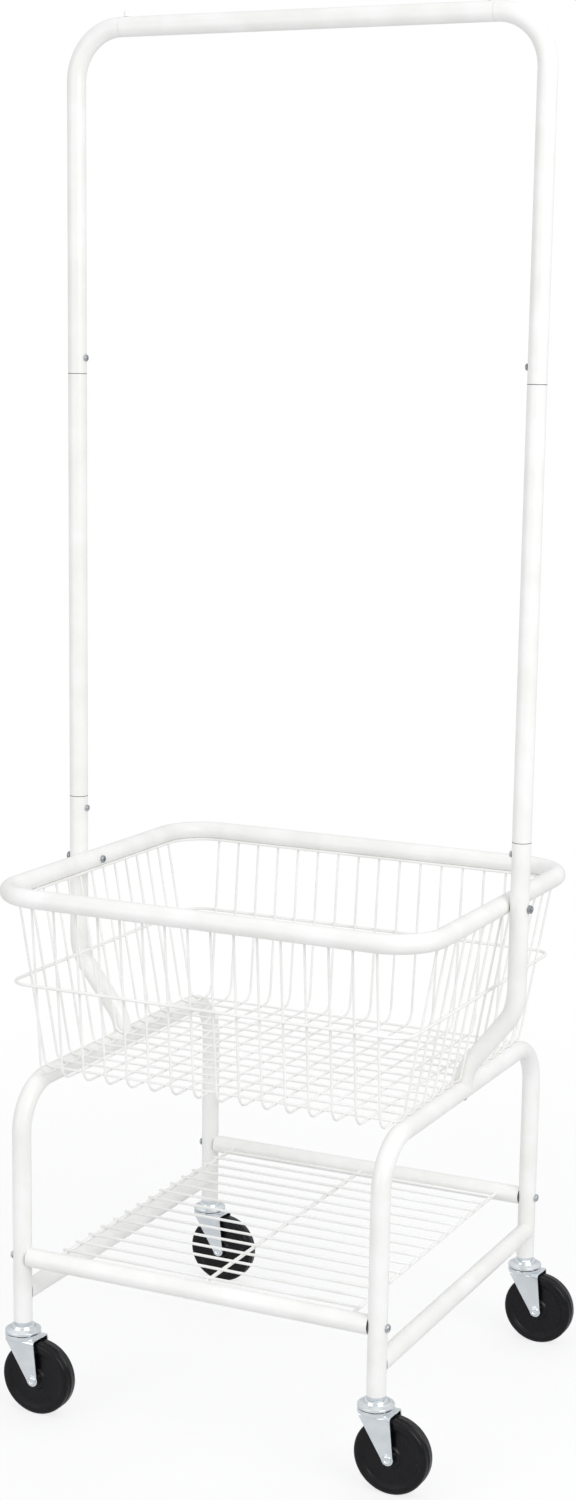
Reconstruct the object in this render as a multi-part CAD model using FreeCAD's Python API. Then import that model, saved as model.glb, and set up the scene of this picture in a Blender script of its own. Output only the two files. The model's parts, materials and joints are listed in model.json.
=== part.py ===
"""Rolling laundry cart: a wire basket on a tube frame with a hanging bar above it and four swivel casters.

Millimetres. +Z is up, +X is the right-hand side frame and -Y the front. The origin is on the floor under
the middle of the cart. Every function below makes one kind of piece, and the end of the file puts the
pieces into named nodes, one STEP file each.
"""
import FreeCAD
import Part
import math
import os
from FreeCAD import Vector

# ---- Casters ----
WHEEL_RADIUS = 50.8
WHEEL_WIDTH = 25.0
WHEEL_EDGE_RADIUS = 5.0
WHEEL_WEB_DEPTH = 3.0          # how far the side faces are dished
WHEEL_WEB_OUTER = 38.0
WHEEL_HUB_RADIUS = 13.0
BUSH_RADIUS = 7.0
AXLE_RADIUS = 4.5
AXLE_CLEARANCE = 0.05
AXLE_HEAD_RADIUS = 6.0
AXLE_HEAD_HEIGHT = 2.4
AXLE_HEAD_ROUNDING = 0.6       # share of the head's height that is rounded
SIDE_PLAY = 0.4                # between the bush and each fork cheek
CASTER_TRAIL = 25.0
FORK_PLATE = 2.5
WHEEL_SIDE_GAP = 4.0           # between the wheel and each fork cheek
FORK_TIP_RADIUS = 7.5
FORK_FRONT_REACH = 17.5        # cheek's top edge ahead of the swivel axis
FORK_BACK_REACH = 27.0         # cheek's top edge behind the swivel axis
WHEEL_TO_FORK_GAP = 2.4
RACE_RADIUS = 24.0
RACE_HEIGHT = 15.5             # fork plate to the top of the upper race
RACE_GAP = 0.5
RACE_LIP = 3.0                 # height of the upper race's upright edge
RACE_SHOULDER_INSET = 6.0
RACE_SHOULDER_DROP = 1.5
RACE_CROWN_INSET = 9.0
BALL_RADIUS = 3.0
BALL_PITCH_RADIUS = 16.5
BALL_COUNT = 14
BALL_CLEARANCE = 0.1
BALL_RISE = 5.0                # ball centres above the fork plate
KING_PIN_RADIUS = 6.0
KING_PIN_CLEARANCE = 0.05
KING_PIN_HEAD_RADIUS = 9.0
KING_PIN_HEAD_HEIGHT = 2.2
COLLAR_FLAT_INSET = 1.0        # hex collar's flats inside the leg's bore, so that its corners reach the wall
COLLAR_HEIGHT = 5.0
STEM_RADIUS = 5.0
STEM_LENGTH = 34.0
INSERT_LENGTH = 42.0
INSERT_FIT = 0.05

# ---- Frame tube ----
TUBE_DIAMETER = 25.4
TUBE_WALL = 1.2
LEG_SPACING_X = 524.0          # between the two side frames, centre to centre
LEG_SPACING_Y = 534.0          # between a side frame's two legs, centre to centre
SIDE_RAIL_RISE = 328.0         # top rail's centreline above the legs' cut ends
SIDE_RAIL_BEND = 65.0          # centreline radius where a leg turns into the rail
STRETCHER_RISE = 39.0          # low front-to-back tube's centreline above the legs' cut ends
COPE_OPENING = 1.0             # a coped end is this much rounder than the leg, so it gapes at its sides

# ---- Bottom shelf ----
SHELF_RISE = 91.0              # centreline of the shelf tubes and long wires above the legs' cut ends
SHELF_LONG_WIRE = 5.0
SHELF_LONG_INSET = 46.0        # outer long wires inboard of the legs' centrelines
SHELF_LONG_COUNT = 3
SHELF_CROSS_WIRE = 3.8
SHELF_CROSS_PITCH = 33.0
SHELF_CROSS_OVERHANG = 4.0     # cross wire past the outer long wires
SHELF_END_MARGIN = 23.0        # least space between the end wires and the shelf tubes

# ---- Basket ----
RIM_RISE = 257.0               # rim's centreline above the side rails' centrelines
RIM_OVERHANG_X = 46.5          # rim's centreline outboard of the side frames
RIM_INSET_Y = 1.0              # rim's centreline inside the legs' centrelines
RIM_CORNER = 65.0
RIM_VENT_RADIUS = 3.0          # lets air out of the closed rim tube while it is coated
BASKET_WIRE = 3.2
BASKET_BEND = 12.0             # centreline radius between a side wall and the floor
LONG_WIRE_BEND = 20.0          # the same for the front and back walls
FLOOR_OVERHANG_X = 1.0         # corners of wall and floor outboard of the side rails' centrelines
FLOOR_INSET_Y = 27.0           # corners of wall and floor inside the legs' centrelines
BASKET_LONG_PITCH = 33.0       # wires that run front, floor, back
BASKET_SIDE_PITCH = 31.5       # wires that run left, floor, right
WIRE_PAST_BEND = 4.1           # how far an end wire may stand into the rim's corner bend
WIRE_POST_GAP = 0.1
TOP_RING_WIRE = 4.0
TOP_RING_INSET = 8.0           # the top ring sits this far inside the rim's centreline
TOP_RING_CLEARANCE = 0.1
MID_RING_WIRE = 4.4
MID_RING_DROP = 120.0          # below the rim's centreline
MID_RING_CORNER = 28.0

# ---- Posts and hanging bar ----
CROSSBAR_HEIGHT = 1834.0
LOWER_JOINT_RISE = 88.0        # joint above the rim's centreline
UPPER_JOINT_DROP = 449.0       # joint below the crossbar's centreline
CORNER_BEND = 68.0
CORNER_STRAIGHT = 2.0          # straight tube between the bend and the crossbar's end
POST_BEND = 65.0
POST_LEAN = 38.0               # degrees from upright between the two bends of a lower post
POST_FOOT_SINK = 9.0           # the lower bend ends this far below the top of the side rail
POST_FOOT_STRAIGHT = 1.0       # straight tube below that bend, before the cope
POST_RIM_GAP = 0.1
SWAGE_LENGTH = 45.0            # reduced tube end that slides into the next tube
SWAGE_CLEARANCE = 0.1
JOINT_GAP = 0.3
LOWER_SCREW_OFFSET = 17.0      # joint screw below the lower joint
UPPER_SCREW_OFFSET = 21.0      # joint screw above the upper joint
CROSSBAR_SCREW_OFFSET = 7.0    # screw inboard of the crossbar's end

# ---- Fasteners ----
SCREW_RADIUS = 2.4
SCREW_LENGTH = 14.0
SCREW_HEAD_RADIUS = 4.6
SCREW_HEAD_HEIGHT = 3.2
DOME_HEAD_RADIUS = 4.0         # tall domed screws on top of the crossbar
DOME_HEAD_HEIGHT = 8.0
BOLT_RADIUS = 3.0
BOLT_HEAD_RADIUS = 5.4
BOLT_HEAD_HEIGHT = 3.8
HEAD_ROUNDING = 0.55           # share of a head's height that is rounded
RECESS_LENGTH = 1.1            # cross recess as shares of the head's radius and height
RECESS_WIDTH = 0.26
RECESS_DEPTH = 0.45
BOLT_HOLE_CLEARANCE = 0.3
THREAD_CLEARANCE = 0.02
SHELF_BOLT_REACH = 22.0        # bolt past the inner face of the leg
PLUG_LENGTH = 24.0
PLUG_SETBACK = 4.0             # plug face behind the deepest point of the coped tube end
PLUG_FIT = 0.05
NUT_ACROSS_FLATS = 10.0
NUT_HEIGHT = 4.6
BOLT_PAST_NUT = 1.4
SEAT_GAP = 0.05                # under heads and nuts
FOOT_NUT_SIDE_GAP = 2.9        # around the round nut inside a post's foot
FOOT_NUT_HEIGHT = 9.0
FOOT_BOLT_PAST_NUT = 2.0
FOOT_BOLT_HEAD_HEIGHT = 1.8    # shallow, so that it hides under the rail

# ---- Worked out from the sizes above ----
UP = Vector(0, 0, 1)
RIGHT = Vector(1, 0, 0)
BACK = Vector(0, 1, 0)

# Caster heights, from the wheel up to the legs' cut ends.
PLATE_BOTTOM = 2 * WHEEL_RADIUS + WHEEL_TO_FORK_GAP
PLATE_TOP = PLATE_BOTTOM + FORK_PLATE
BALL_HEIGHT = PLATE_TOP + BALL_RISE
RACE_TOP = PLATE_TOP + RACE_HEIGHT
LEG_FOOT_HEIGHT = RACE_TOP + COLLAR_HEIGHT
FORK_WIDTH = WHEEL_WIDTH + 2 * (WHEEL_SIDE_GAP + FORK_PLATE)
BUSH_HALF_LENGTH = FORK_WIDTH / 2 - FORK_PLATE - SIDE_PLAY

TUBE_RADIUS = TUBE_DIAMETER / 2
BORE_RADIUS = TUBE_RADIUS - TUBE_WALL
COLLAR_ACROSS_FLATS = 2 * (BORE_RADIUS - COLLAR_FLAT_INSET)
LEG_X = LEG_SPACING_X / 2
LEG_Y = LEG_SPACING_Y / 2
STRETCHER_HEIGHT = LEG_FOOT_HEIGHT + STRETCHER_RISE
SHELF_HEIGHT = LEG_FOOT_HEIGHT + SHELF_RISE
SIDE_RAIL_HEIGHT = LEG_FOOT_HEIGHT + SIDE_RAIL_RISE
RAIL_TOP = SIDE_RAIL_HEIGHT + TUBE_RADIUS
SHELF_WIRE_X = LEG_X - SHELF_LONG_INSET
RIM_X = LEG_X + RIM_OVERHANG_X
RIM_Y = LEG_Y - RIM_INSET_Y
RIM_HEIGHT = SIDE_RAIL_HEIGHT + RIM_RISE
POST_X = RIM_X + TUBE_DIAMETER + POST_RIM_GAP
WIRE_RADIUS = BASKET_WIRE / 2
SWAGE_RADIUS = BORE_RADIUS - SWAGE_CLEARANCE
BOLT_HOLE_RADIUS = BOLT_RADIUS + BOLT_HOLE_CLEARANCE
SCREW_HOLE_RADIUS = SCREW_RADIUS + THREAD_CLEARANCE
THREAD_HOLE_RADIUS = BOLT_RADIUS + THREAD_CLEARANCE
CROSSBAR_END = POST_X - CORNER_BEND - CORNER_STRAIGHT
LOWER_JOINT_HEIGHT = RIM_HEIGHT + LOWER_JOINT_RISE
UPPER_JOINT_HEIGHT = CROSSBAR_HEIGHT - UPPER_JOINT_DROP
POST_SCREW_HEIGHTS = (LOWER_JOINT_HEIGHT - LOWER_SCREW_OFFSET, UPPER_JOINT_HEIGHT + UPPER_SCREW_OFFSET)

# The top ring hangs against the underside of the rim, a little inside its centreline.
TOP_RING_RADIUS = TOP_RING_WIRE / 2
TOP_RING_HEIGHT = RIM_HEIGHT - math.sqrt(
    (TUBE_RADIUS + TOP_RING_RADIUS + TOP_RING_CLEARANCE) ** 2 - TOP_RING_INSET**2
)
# Basket wires stand against the outside of the top ring and end just under the rim.
WIRE_TOP_INSET = TOP_RING_INSET - TOP_RING_RADIUS - WIRE_RADIUS
WIRE_TOP_X = RIM_X - WIRE_TOP_INSET
WIRE_TOP_Y = RIM_Y - WIRE_TOP_INSET
WIRE_TOP_HEIGHT = RIM_HEIGHT - math.hypot(TUBE_RADIUS + TOP_RING_CLEARANCE, WIRE_RADIUS)
FLOOR_X = LEG_X + FLOOR_OVERHANG_X
FLOOR_Y = LEG_Y - FLOOR_INSET_Y
MID_RING_HEIGHT = RIM_HEIGHT - MID_RING_DROP


def floor_height():
    """Height of the left-to-right floor wires when their bends rest on the side rails' inner shoulders."""
    wall_lean = math.atan2(WIRE_TOP_X - FLOOR_X, WIRE_TOP_HEIGHT - RAIL_TOP)
    bend_inset = BASKET_BEND * math.tan((math.pi / 2 - wall_lean) / 2)
    sideways = LEG_X - (FLOOR_X - bend_inset)
    reach = BASKET_BEND + WIRE_RADIUS + TUBE_RADIUS + SEAT_GAP
    return SIDE_RAIL_HEIGHT + math.sqrt(reach**2 - sideways**2) - BASKET_BEND


SIDE_WIRE_FLOOR = floor_height()
LONG_WIRE_FLOOR = SIDE_WIRE_FLOOR - BASKET_WIRE


def at(x, y, z):
    return Vector(x, y, z)


def rod(start, direction, length, radius):
    """A straight round bar."""
    return Part.makeCylinder(radius, length, start, direction)


def bent_path(points, bend, closed=False):
    """Straight runs through the points, with a tangent arc of one radius at each corner."""
    count = len(points)
    corners = []
    for i in range(count) if closed else range(1, count - 1):
        corner = points[i]
        back = (points[i - 1] - corner).normalize()
        ahead = (points[(i + 1) % count] - corner).normalize()
        half_turn = (math.pi - back.getAngle(ahead)) / 2
        run_in = bend * math.tan(half_turn)
        inward = (back + ahead).normalize()
        centre = corner + inward * (bend / math.cos(half_turn))
        corners.append((corner + back * run_in, centre - inward * bend, corner + ahead * run_in))
    edges = []
    last = corners[-1][2] if closed else points[0]
    for entry, middle, leave in corners:
        edges.append(Part.makeLine(last, entry))
        edges.append(Part.Arc(entry, middle, leave).toShape())
        last = leave
    if not closed:
        edges.append(Part.makeLine(last, points[-1]))
    return Part.Wire(edges)


def sweep_round(path, radius):
    """A round bar along a path of lines and tangent arcs, starting square to its first run."""
    first = path.OrderedEdges[0]
    start = first.valueAt(first.FirstParameter)
    direction = first.tangentAt(first.FirstParameter)
    profile = Part.Face(Part.Wire(Part.makeCircle(radius, start, direction)))
    return path.makePipe(profile)


def bent_tube(points, bend, closed=False):
    """Frame tube along a bent path, hollow and open at its ends."""
    path = bent_path(points, bend, closed)
    return sweep_round(path, TUBE_RADIUS).cut(sweep_round(path, BORE_RADIUS))


def straight_tube(start, direction, length, radius=TUBE_RADIUS, bore=BORE_RADIUS):
    return rod(start, direction, length, radius).cut(rod(start, direction, length, bore))


def hexagon(centre, direction, across_flats, height):
    """A hexagonal prism that grows from its centre point along +X or +Z."""
    corner_radius = across_flats / math.sqrt(3)
    other = direction.cross(BACK)
    points = []
    for i in range(7):
        turn = math.radians(60 * i)
        spoke = BACK * math.cos(turn) + other * math.sin(turn)
        points.append(centre + spoke * corner_radius)
    return Part.Face(Part.makePolygon(points)).extrude(direction * height)


def round_head(seat, outward, radius, height, rounding):
    """A disc on its seat with the outer edge of its far face rounded."""
    head = rod(seat, outward, height, radius)
    rim = []
    for edge in head.Edges:
        if edge.Closed and (edge.CenterOfMass - seat).dot(outward) > height / 2:
            rim.append(edge)
    return head.makeFillet(height * rounding, rim)


def pan_head_screw(seat, direction, radius, length, head_radius, head_height):
    """A screw whose head sits on its seat, with a cross recess, and whose shank runs along the direction."""
    outward = direction * -1
    head = round_head(seat, outward, head_radius, head_height, HEAD_ROUNDING)
    screw = head.fuse(rod(seat, direction, length, radius))
    side = outward.cross(BACK)
    slot_length = head_radius * RECESS_LENGTH
    slot_width = head_radius * RECESS_WIDTH
    slot_depth = head_height * RECESS_DEPTH
    top = seat + outward * (head_height - slot_depth)
    for along, across in ((BACK, side), (side, BACK)):
        corner = top - along * (slot_length / 2) - across * (slot_width / 2)
        outline = [
            corner,
            corner + along * slot_length,
            corner + along * slot_length + across * slot_width,
            corner + across * slot_width,
            corner,
        ]
        screw = screw.cut(Part.Face(Part.makePolygon(outline)).extrude(outward * head_height))
    return screw


def dome_head_screw(seat, direction, radius, length, head_radius, head_height):
    """A screw with a tall domed head and no recess."""
    outward = direction * -1
    head = rod(seat, outward, head_height - head_radius, head_radius)
    dome = Part.makeSphere(head_radius, seat + outward * (head_height - head_radius))
    return head.fuse([dome, rod(seat, direction, length, radius)])


def spread(count, pitch):
    """Evenly spaced places about zero."""
    return [(i - (count - 1) / 2) * pitch for i in range(count)]


def fill(reach, pitch):
    """As many evenly spaced places about zero as fit between -reach and reach."""
    return spread(int(2 * reach / pitch) + 1, pitch)


def cross_hole(start, direction, radius):
    """What a drill leaves that enters outside a tube and comes out beyond it."""
    return rod(start - direction * TUBE_DIAMETER, direction, 2 * TUBE_DIAMETER, radius)


def half_hole(centre, direction, radius):
    """A drill from a tube's middle out through one wall."""
    return rod(centre, direction, TUBE_DIAMETER, radius)


# ---- Side frames and bottom shelf ----

def side_frame(side):
    """One inverted U of tube: two legs and the top rail, with its bolt holes."""
    x = side * LEG_X
    frame = bent_tube(
        [
            at(x, -LEG_Y, LEG_FOOT_HEIGHT),
            at(x, -LEG_Y, SIDE_RAIL_HEIGHT),
            at(x, LEG_Y, SIDE_RAIL_HEIGHT),
            at(x, LEG_Y, LEG_FOOT_HEIGHT),
        ],
        SIDE_RAIL_BEND,
    )
    holes = [cross_hole(at(x, y, SHELF_HEIGHT), RIGHT, BOLT_HOLE_RADIUS) for y in (-LEG_Y, LEG_Y)]
    holes.append(cross_hole(at(x, 0, SIDE_RAIL_HEIGHT), UP, BOLT_HOLE_RADIUS))
    return frame.cut(holes)


def cope(x, y, away):
    """What is cut from a tube that butts against a leg; it bears on the leg at its top and bottom only."""
    axis = at(x, y, LEG_FOOT_HEIGHT) + away * COPE_OPENING
    return rod(axis, UP, SIDE_RAIL_RISE - SIDE_RAIL_BEND, TUBE_RADIUS + COPE_OPENING)


def side_stretcher(side):
    x = side * LEG_X
    tube = straight_tube(at(x, -LEG_Y, STRETCHER_HEIGHT), BACK, LEG_SPACING_Y)
    return tube.cut([cope(x, -LEG_Y, BACK * -1), cope(x, LEG_Y, BACK)])


def shelf_tube(y):
    tube = straight_tube(at(-LEG_X, y, SHELF_HEIGHT), RIGHT, LEG_SPACING_X)
    return tube.cut([cope(-LEG_X, y, RIGHT * -1), cope(LEG_X, y, RIGHT)])


def shelf_plugs():
    """Threaded plugs inside the ends of the shelf tubes."""
    plugs = []
    for side in (-1, 1):
        for y in (-LEG_Y, LEG_Y):
            outer_end = at(side * (LEG_X - TUBE_RADIUS - PLUG_SETBACK), y, SHELF_HEIGHT)
            inward = Vector(-side, 0, 0)
            plug = straight_tube(outer_end, inward, PLUG_LENGTH, BORE_RADIUS - PLUG_FIT, THREAD_HOLE_RADIUS)
            plugs.append(plug)
    return plugs


def shelf_bolts():
    length = TUBE_DIAMETER + SHELF_BOLT_REACH + SEAT_GAP
    return [
        pan_head_screw(
            at(side * (LEG_X + TUBE_RADIUS + SEAT_GAP), y, SHELF_HEIGHT), Vector(-side, 0, 0),
            BOLT_RADIUS, length, BOLT_HEAD_RADIUS, BOLT_HEAD_HEIGHT,
        )
        for side in (-1, 1)
        for y in (-LEG_Y, LEG_Y)
    ]


def shelf_long_wires():
    """Thick wires from the front shelf tube to the back one, coped to the tubes they are welded to."""
    tubes = [rod(at(-LEG_X, y, SHELF_HEIGHT), RIGHT, LEG_SPACING_X, TUBE_RADIUS) for y in (-LEG_Y, LEG_Y)]
    pitch = 2 * SHELF_WIRE_X / (SHELF_LONG_COUNT - 1)
    return [
        rod(at(x, -LEG_Y, SHELF_HEIGHT), BACK, LEG_SPACING_Y, SHELF_LONG_WIRE / 2).cut(tubes)
        for x in spread(SHELF_LONG_COUNT, pitch)
    ]


def shelf_cross_wires():
    """Thin wires laid across the tops of the long wires."""
    reach = SHELF_WIRE_X + SHELF_CROSS_OVERHANG
    height = SHELF_HEIGHT + (SHELF_LONG_WIRE + SHELF_CROSS_WIRE) / 2
    return [
        rod(at(-reach, y, height), RIGHT, 2 * reach, SHELF_CROSS_WIRE / 2)
        for y in fill(LEG_Y - TUBE_RADIUS - SHELF_END_MARGIN, SHELF_CROSS_PITCH)
    ]


# ---- Basket ----

def rounded_rectangle(half_x, half_y, height, corner):
    points = [
        at(-half_x, -half_y, height),
        at(half_x, -half_y, height),
        at(half_x, half_y, height),
        at(-half_x, half_y, height),
    ]
    return bent_path(points, corner, closed=True)


def basket_rim():
    """The closed tube rim, with the holes of the two post bolts and a vent under the front right corner."""
    path = rounded_rectangle(RIM_X, RIM_Y, RIM_HEIGHT, RIM_CORNER)
    rim = sweep_round(path, TUBE_RADIUS).cut(sweep_round(path, BORE_RADIUS))
    holes = [cross_hole(at(side * RIM_X, 0, RIM_HEIGHT), RIGHT, BOLT_HOLE_RADIUS) for side in (-1, 1)]
    corner_inset = RIM_CORNER * (1 - math.sqrt(0.5))
    vent = at(RIM_X - corner_inset, -(RIM_Y - corner_inset), RIM_HEIGHT)
    return rim.cut(holes + [half_hole(vent, UP * -1, RIM_VENT_RADIUS)])


def basket_top_ring():
    path = rounded_rectangle(
        RIM_X - TOP_RING_INSET, RIM_Y - TOP_RING_INSET, TOP_RING_HEIGHT, RIM_CORNER - TOP_RING_INSET
    )
    return sweep_round(path, TOP_RING_RADIUS)


def wall_at(top, floor, floor_z, height):
    """How far out a leaning basket wall stands at a height."""
    share = (height - floor_z) / (WIRE_TOP_HEIGHT - floor_z)
    return floor + (top - floor) * share


def basket_mid_ring():
    """A ring wire outside the upright wires, welded to each of them."""
    outset = WIRE_RADIUS + MID_RING_WIRE / 2
    half_x = wall_at(WIRE_TOP_X, FLOOR_X, SIDE_WIRE_FLOOR, MID_RING_HEIGHT) + outset
    half_y = wall_at(WIRE_TOP_Y, FLOOR_Y, LONG_WIRE_FLOOR, MID_RING_HEIGHT) + outset
    path = rounded_rectangle(half_x, half_y, MID_RING_HEIGHT, MID_RING_CORNER)
    return sweep_round(path, MID_RING_WIRE / 2)


def basket_long_wires():
    """Wires bent to a U that run down the front wall, under the floor and up the back wall."""
    wires = []
    within_rim = RIM_X - RIM_CORNER + WIRE_PAST_BEND
    beside_post = LEG_X - TUBE_RADIUS - WIRE_RADIUS - WIRE_POST_GAP
    for x in fill(min(within_rim, beside_post), BASKET_LONG_PITCH):
        points = [
            at(x, -WIRE_TOP_Y, WIRE_TOP_HEIGHT),
            at(x, -FLOOR_Y, LONG_WIRE_FLOOR),
            at(x, FLOOR_Y, LONG_WIRE_FLOOR),
            at(x, WIRE_TOP_Y, WIRE_TOP_HEIGHT),
        ]
        wires.append(sweep_round(bent_path(points, LONG_WIRE_BEND), WIRE_RADIUS))
    return wires


def side_wire_places():
    """Even spacing on each side of the posts, whose feet the two middle wires stand clear of."""
    reach = RIM_Y - RIM_CORNER + WIRE_PAST_BEND
    first = max(BASKET_SIDE_PITCH / 2, TUBE_RADIUS + WIRE_RADIUS + WIRE_POST_GAP)
    count = int((reach - first) / BASKET_SIDE_PITCH) + 1
    behind = [first + i * BASKET_SIDE_PITCH for i in range(count)]
    return [-y for y in reversed(behind)] + behind


def basket_side_wires():
    """Wires bent to a U that run down the left wall, across the floor and up the right wall."""
    wires = []
    for y in side_wire_places():
        points = [
            at(-WIRE_TOP_X, y, WIRE_TOP_HEIGHT),
            at(-FLOOR_X, y, SIDE_WIRE_FLOOR),
            at(FLOOR_X, y, SIDE_WIRE_FLOOR),
            at(WIRE_TOP_X, y, WIRE_TOP_HEIGHT),
        ]
        wires.append(sweep_round(bent_path(points, BASKET_BEND), WIRE_RADIUS))
    return wires


# ---- Posts and hanging bar ----

def lower_post(side):
    """From the coped foot on the side rail, out through an S-bend and up past the rim."""
    lean = math.radians(POST_LEAN)
    low_corner = RAIL_TOP - POST_FOOT_SINK + POST_BEND * math.tan(lean / 2)
    high_corner = low_corner + (POST_X - LEG_X) / math.tan(lean)
    post = bent_tube(
        [
            at(side * POST_X, 0, LOWER_JOINT_HEIGHT),
            at(side * POST_X, 0, high_corner),
            at(side * LEG_X, 0, low_corner),
            at(side * LEG_X, 0, RAIL_TOP - POST_FOOT_SINK - POST_FOOT_STRAIGHT),
        ],
        POST_BEND,
    )
    rail = rod(at(side * LEG_X, -LEG_Y, SIDE_RAIL_HEIGHT), BACK, LEG_SPACING_Y, TUBE_RADIUS)
    rim_bolt = cross_hole(at(side * POST_X, 0, RIM_HEIGHT), RIGHT, BOLT_HOLE_RADIUS)
    return post.cut([rail, rim_bolt, post_screw_hole(side, POST_SCREW_HEIGHTS[0])])


def post_screw_hole(side, height):
    """Through the wall of a post that faces the other post."""
    return half_hole(at(side * POST_X, 0, height), Vector(-side, 0, 0), SCREW_HOLE_RADIUS)


def swaged_end(shoulder, direction):
    """A tube's reduced end: a short step at the shoulder and the sleeve that slides into the next tube."""
    bore = SWAGE_RADIUS - TUBE_WALL
    sleeve = straight_tube(shoulder, direction, SWAGE_LENGTH, SWAGE_RADIUS, bore)
    step_radius = BORE_RADIUS + TUBE_WALL / 2
    step = straight_tube(shoulder - direction * TUBE_WALL, direction, TUBE_WALL, step_radius, bore)
    return [sleeve, step]


def middle_post(side):
    """A straight tube whose two ends are swaged to slide into the pieces below and above."""
    x = side * POST_X
    bottom = at(x, 0, LOWER_JOINT_HEIGHT + JOINT_GAP)
    top = at(x, 0, UPPER_JOINT_HEIGHT - JOINT_GAP)
    post = straight_tube(bottom, UP, top.z - bottom.z)
    post = post.fuse(swaged_end(bottom, UP * -1) + swaged_end(top, UP))
    return post.cut([post_screw_hole(side, height) for height in POST_SCREW_HEIGHTS])


def upper_corner(side):
    """The bend from the post to the hanging bar, with a swaged end that slides into the crossbar."""
    shoulder = at(side * (CROSSBAR_END + JOINT_GAP), 0, CROSSBAR_HEIGHT)
    bend = bent_tube(
        [
            at(side * POST_X, 0, UPPER_JOINT_HEIGHT),
            at(side * POST_X, 0, CROSSBAR_HEIGHT),
            shoulder,
        ],
        CORNER_BEND,
    )
    corner = bend.fuse(swaged_end(shoulder, Vector(-side, 0, 0)))
    return corner.cut([post_screw_hole(side, POST_SCREW_HEIGHTS[1]), crossbar_screw_hole(side)])


def crossbar_screw_hole(side):
    x = side * (CROSSBAR_END - CROSSBAR_SCREW_OFFSET)
    return half_hole(at(x, 0, CROSSBAR_HEIGHT), UP, SCREW_HOLE_RADIUS)


def crossbar():
    bar = straight_tube(at(-CROSSBAR_END, 0, CROSSBAR_HEIGHT), RIGHT, 2 * CROSSBAR_END)
    return bar.cut([crossbar_screw_hole(-1), crossbar_screw_hole(1)])


def post_joint_screws():
    """Self-tapping screws on the inner faces of the posts, one at each joint."""
    return [
        pan_head_screw(
            at(side * (POST_X - TUBE_RADIUS - SEAT_GAP), 0, height), Vector(side, 0, 0),
            SCREW_RADIUS, SCREW_LENGTH, SCREW_HEAD_RADIUS, SCREW_HEAD_HEIGHT,
        )
        for side in (-1, 1)
        for height in POST_SCREW_HEIGHTS
    ]


def crossbar_screws():
    """Dome-headed screws down through the ends of the crossbar."""
    return [
        dome_head_screw(
            at(side * (CROSSBAR_END - CROSSBAR_SCREW_OFFSET), 0, CROSSBAR_HEIGHT + TUBE_RADIUS + SEAT_GAP),
            UP * -1, SCREW_RADIUS, SCREW_LENGTH, DOME_HEAD_RADIUS, DOME_HEAD_HEIGHT,
        )
        for side in (-1, 1)
    ]


def rim_bolts():
    """Bolts from inside the basket through the rim and the post."""
    length = 2 * TUBE_DIAMETER + POST_RIM_GAP + 2 * SEAT_GAP + NUT_HEIGHT + BOLT_PAST_NUT
    return [
        pan_head_screw(
            at(side * (RIM_X - TUBE_RADIUS - SEAT_GAP), 0, RIM_HEIGHT), Vector(side, 0, 0),
            BOLT_RADIUS, length, BOLT_HEAD_RADIUS, BOLT_HEAD_HEIGHT,
        )
        for side in (-1, 1)
    ]


def rim_nuts():
    nuts = []
    for side in (-1, 1):
        seat = at(side * (POST_X + TUBE_RADIUS + SEAT_GAP), 0, RIM_HEIGHT)
        nut = hexagon(seat, Vector(side, 0, 0), NUT_ACROSS_FLATS, NUT_HEIGHT)
        nuts.append(nut.cut(rod(seat, Vector(side, 0, 0), NUT_HEIGHT, THREAD_HOLE_RADIUS)))
    return nuts


def foot_bolts():
    """Bolts from under the side rails up into the posts' feet."""
    length = TUBE_DIAMETER + SEAT_GAP * 2 + FOOT_NUT_HEIGHT + FOOT_BOLT_PAST_NUT
    return [
        pan_head_screw(
            at(side * LEG_X, 0, SIDE_RAIL_HEIGHT - TUBE_RADIUS - SEAT_GAP), UP,
            BOLT_RADIUS, length, BOLT_HEAD_RADIUS, FOOT_BOLT_HEAD_HEIGHT,
        )
        for side in (-1, 1)
    ]


def foot_nuts():
    """Round nuts held inside the posts' feet."""
    return [
        straight_tube(
            at(side * LEG_X, 0, RAIL_TOP + SEAT_GAP), UP, FOOT_NUT_HEIGHT,
            BORE_RADIUS - FOOT_NUT_SIDE_GAP, THREAD_HOLE_RADIUS,
        )
        for side in (-1, 1)
    ]


# ---- Casters ----

def leg_insert(x, y):
    """Plug pressed into a leg's end, with the thread that takes the caster's stem."""
    foot = at(x, y, LEG_FOOT_HEIGHT)
    return straight_tube(foot, UP, INSERT_LENGTH, BORE_RADIUS - INSERT_FIT, STEM_RADIUS + THREAD_CLEARANCE)


def caster_stem(x, y):
    """Threaded stem, hex collar and king pin in one piece, riveted over below the fork plate."""
    pin_bottom = PLATE_BOTTOM - 2 * SEAT_GAP - KING_PIN_HEAD_HEIGHT
    collar_bottom = RACE_TOP + SEAT_GAP
    collar_top = LEG_FOOT_HEIGHT - SEAT_GAP
    head = rod(at(x, y, pin_bottom), UP, KING_PIN_HEAD_HEIGHT, KING_PIN_HEAD_RADIUS)
    pin = rod(at(x, y, pin_bottom), UP, collar_top - pin_bottom, KING_PIN_RADIUS)
    collar = hexagon(at(x, y, collar_bottom), UP, COLLAR_ACROSS_FLATS, collar_top - collar_bottom)
    stem = rod(at(x, y, collar_bottom), UP, LEG_FOOT_HEIGHT + STEM_LENGTH - collar_bottom, STEM_RADIUS)
    return head.fuse([pin, collar, stem])


def ring_groove(x, y):
    """The channel the bearing balls run in, cut into both races."""
    return Part.makeTorus(BALL_PITCH_RADIUS, BALL_RADIUS + BALL_CLEARANCE, at(x, y, BALL_HEIGHT), UP)


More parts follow.
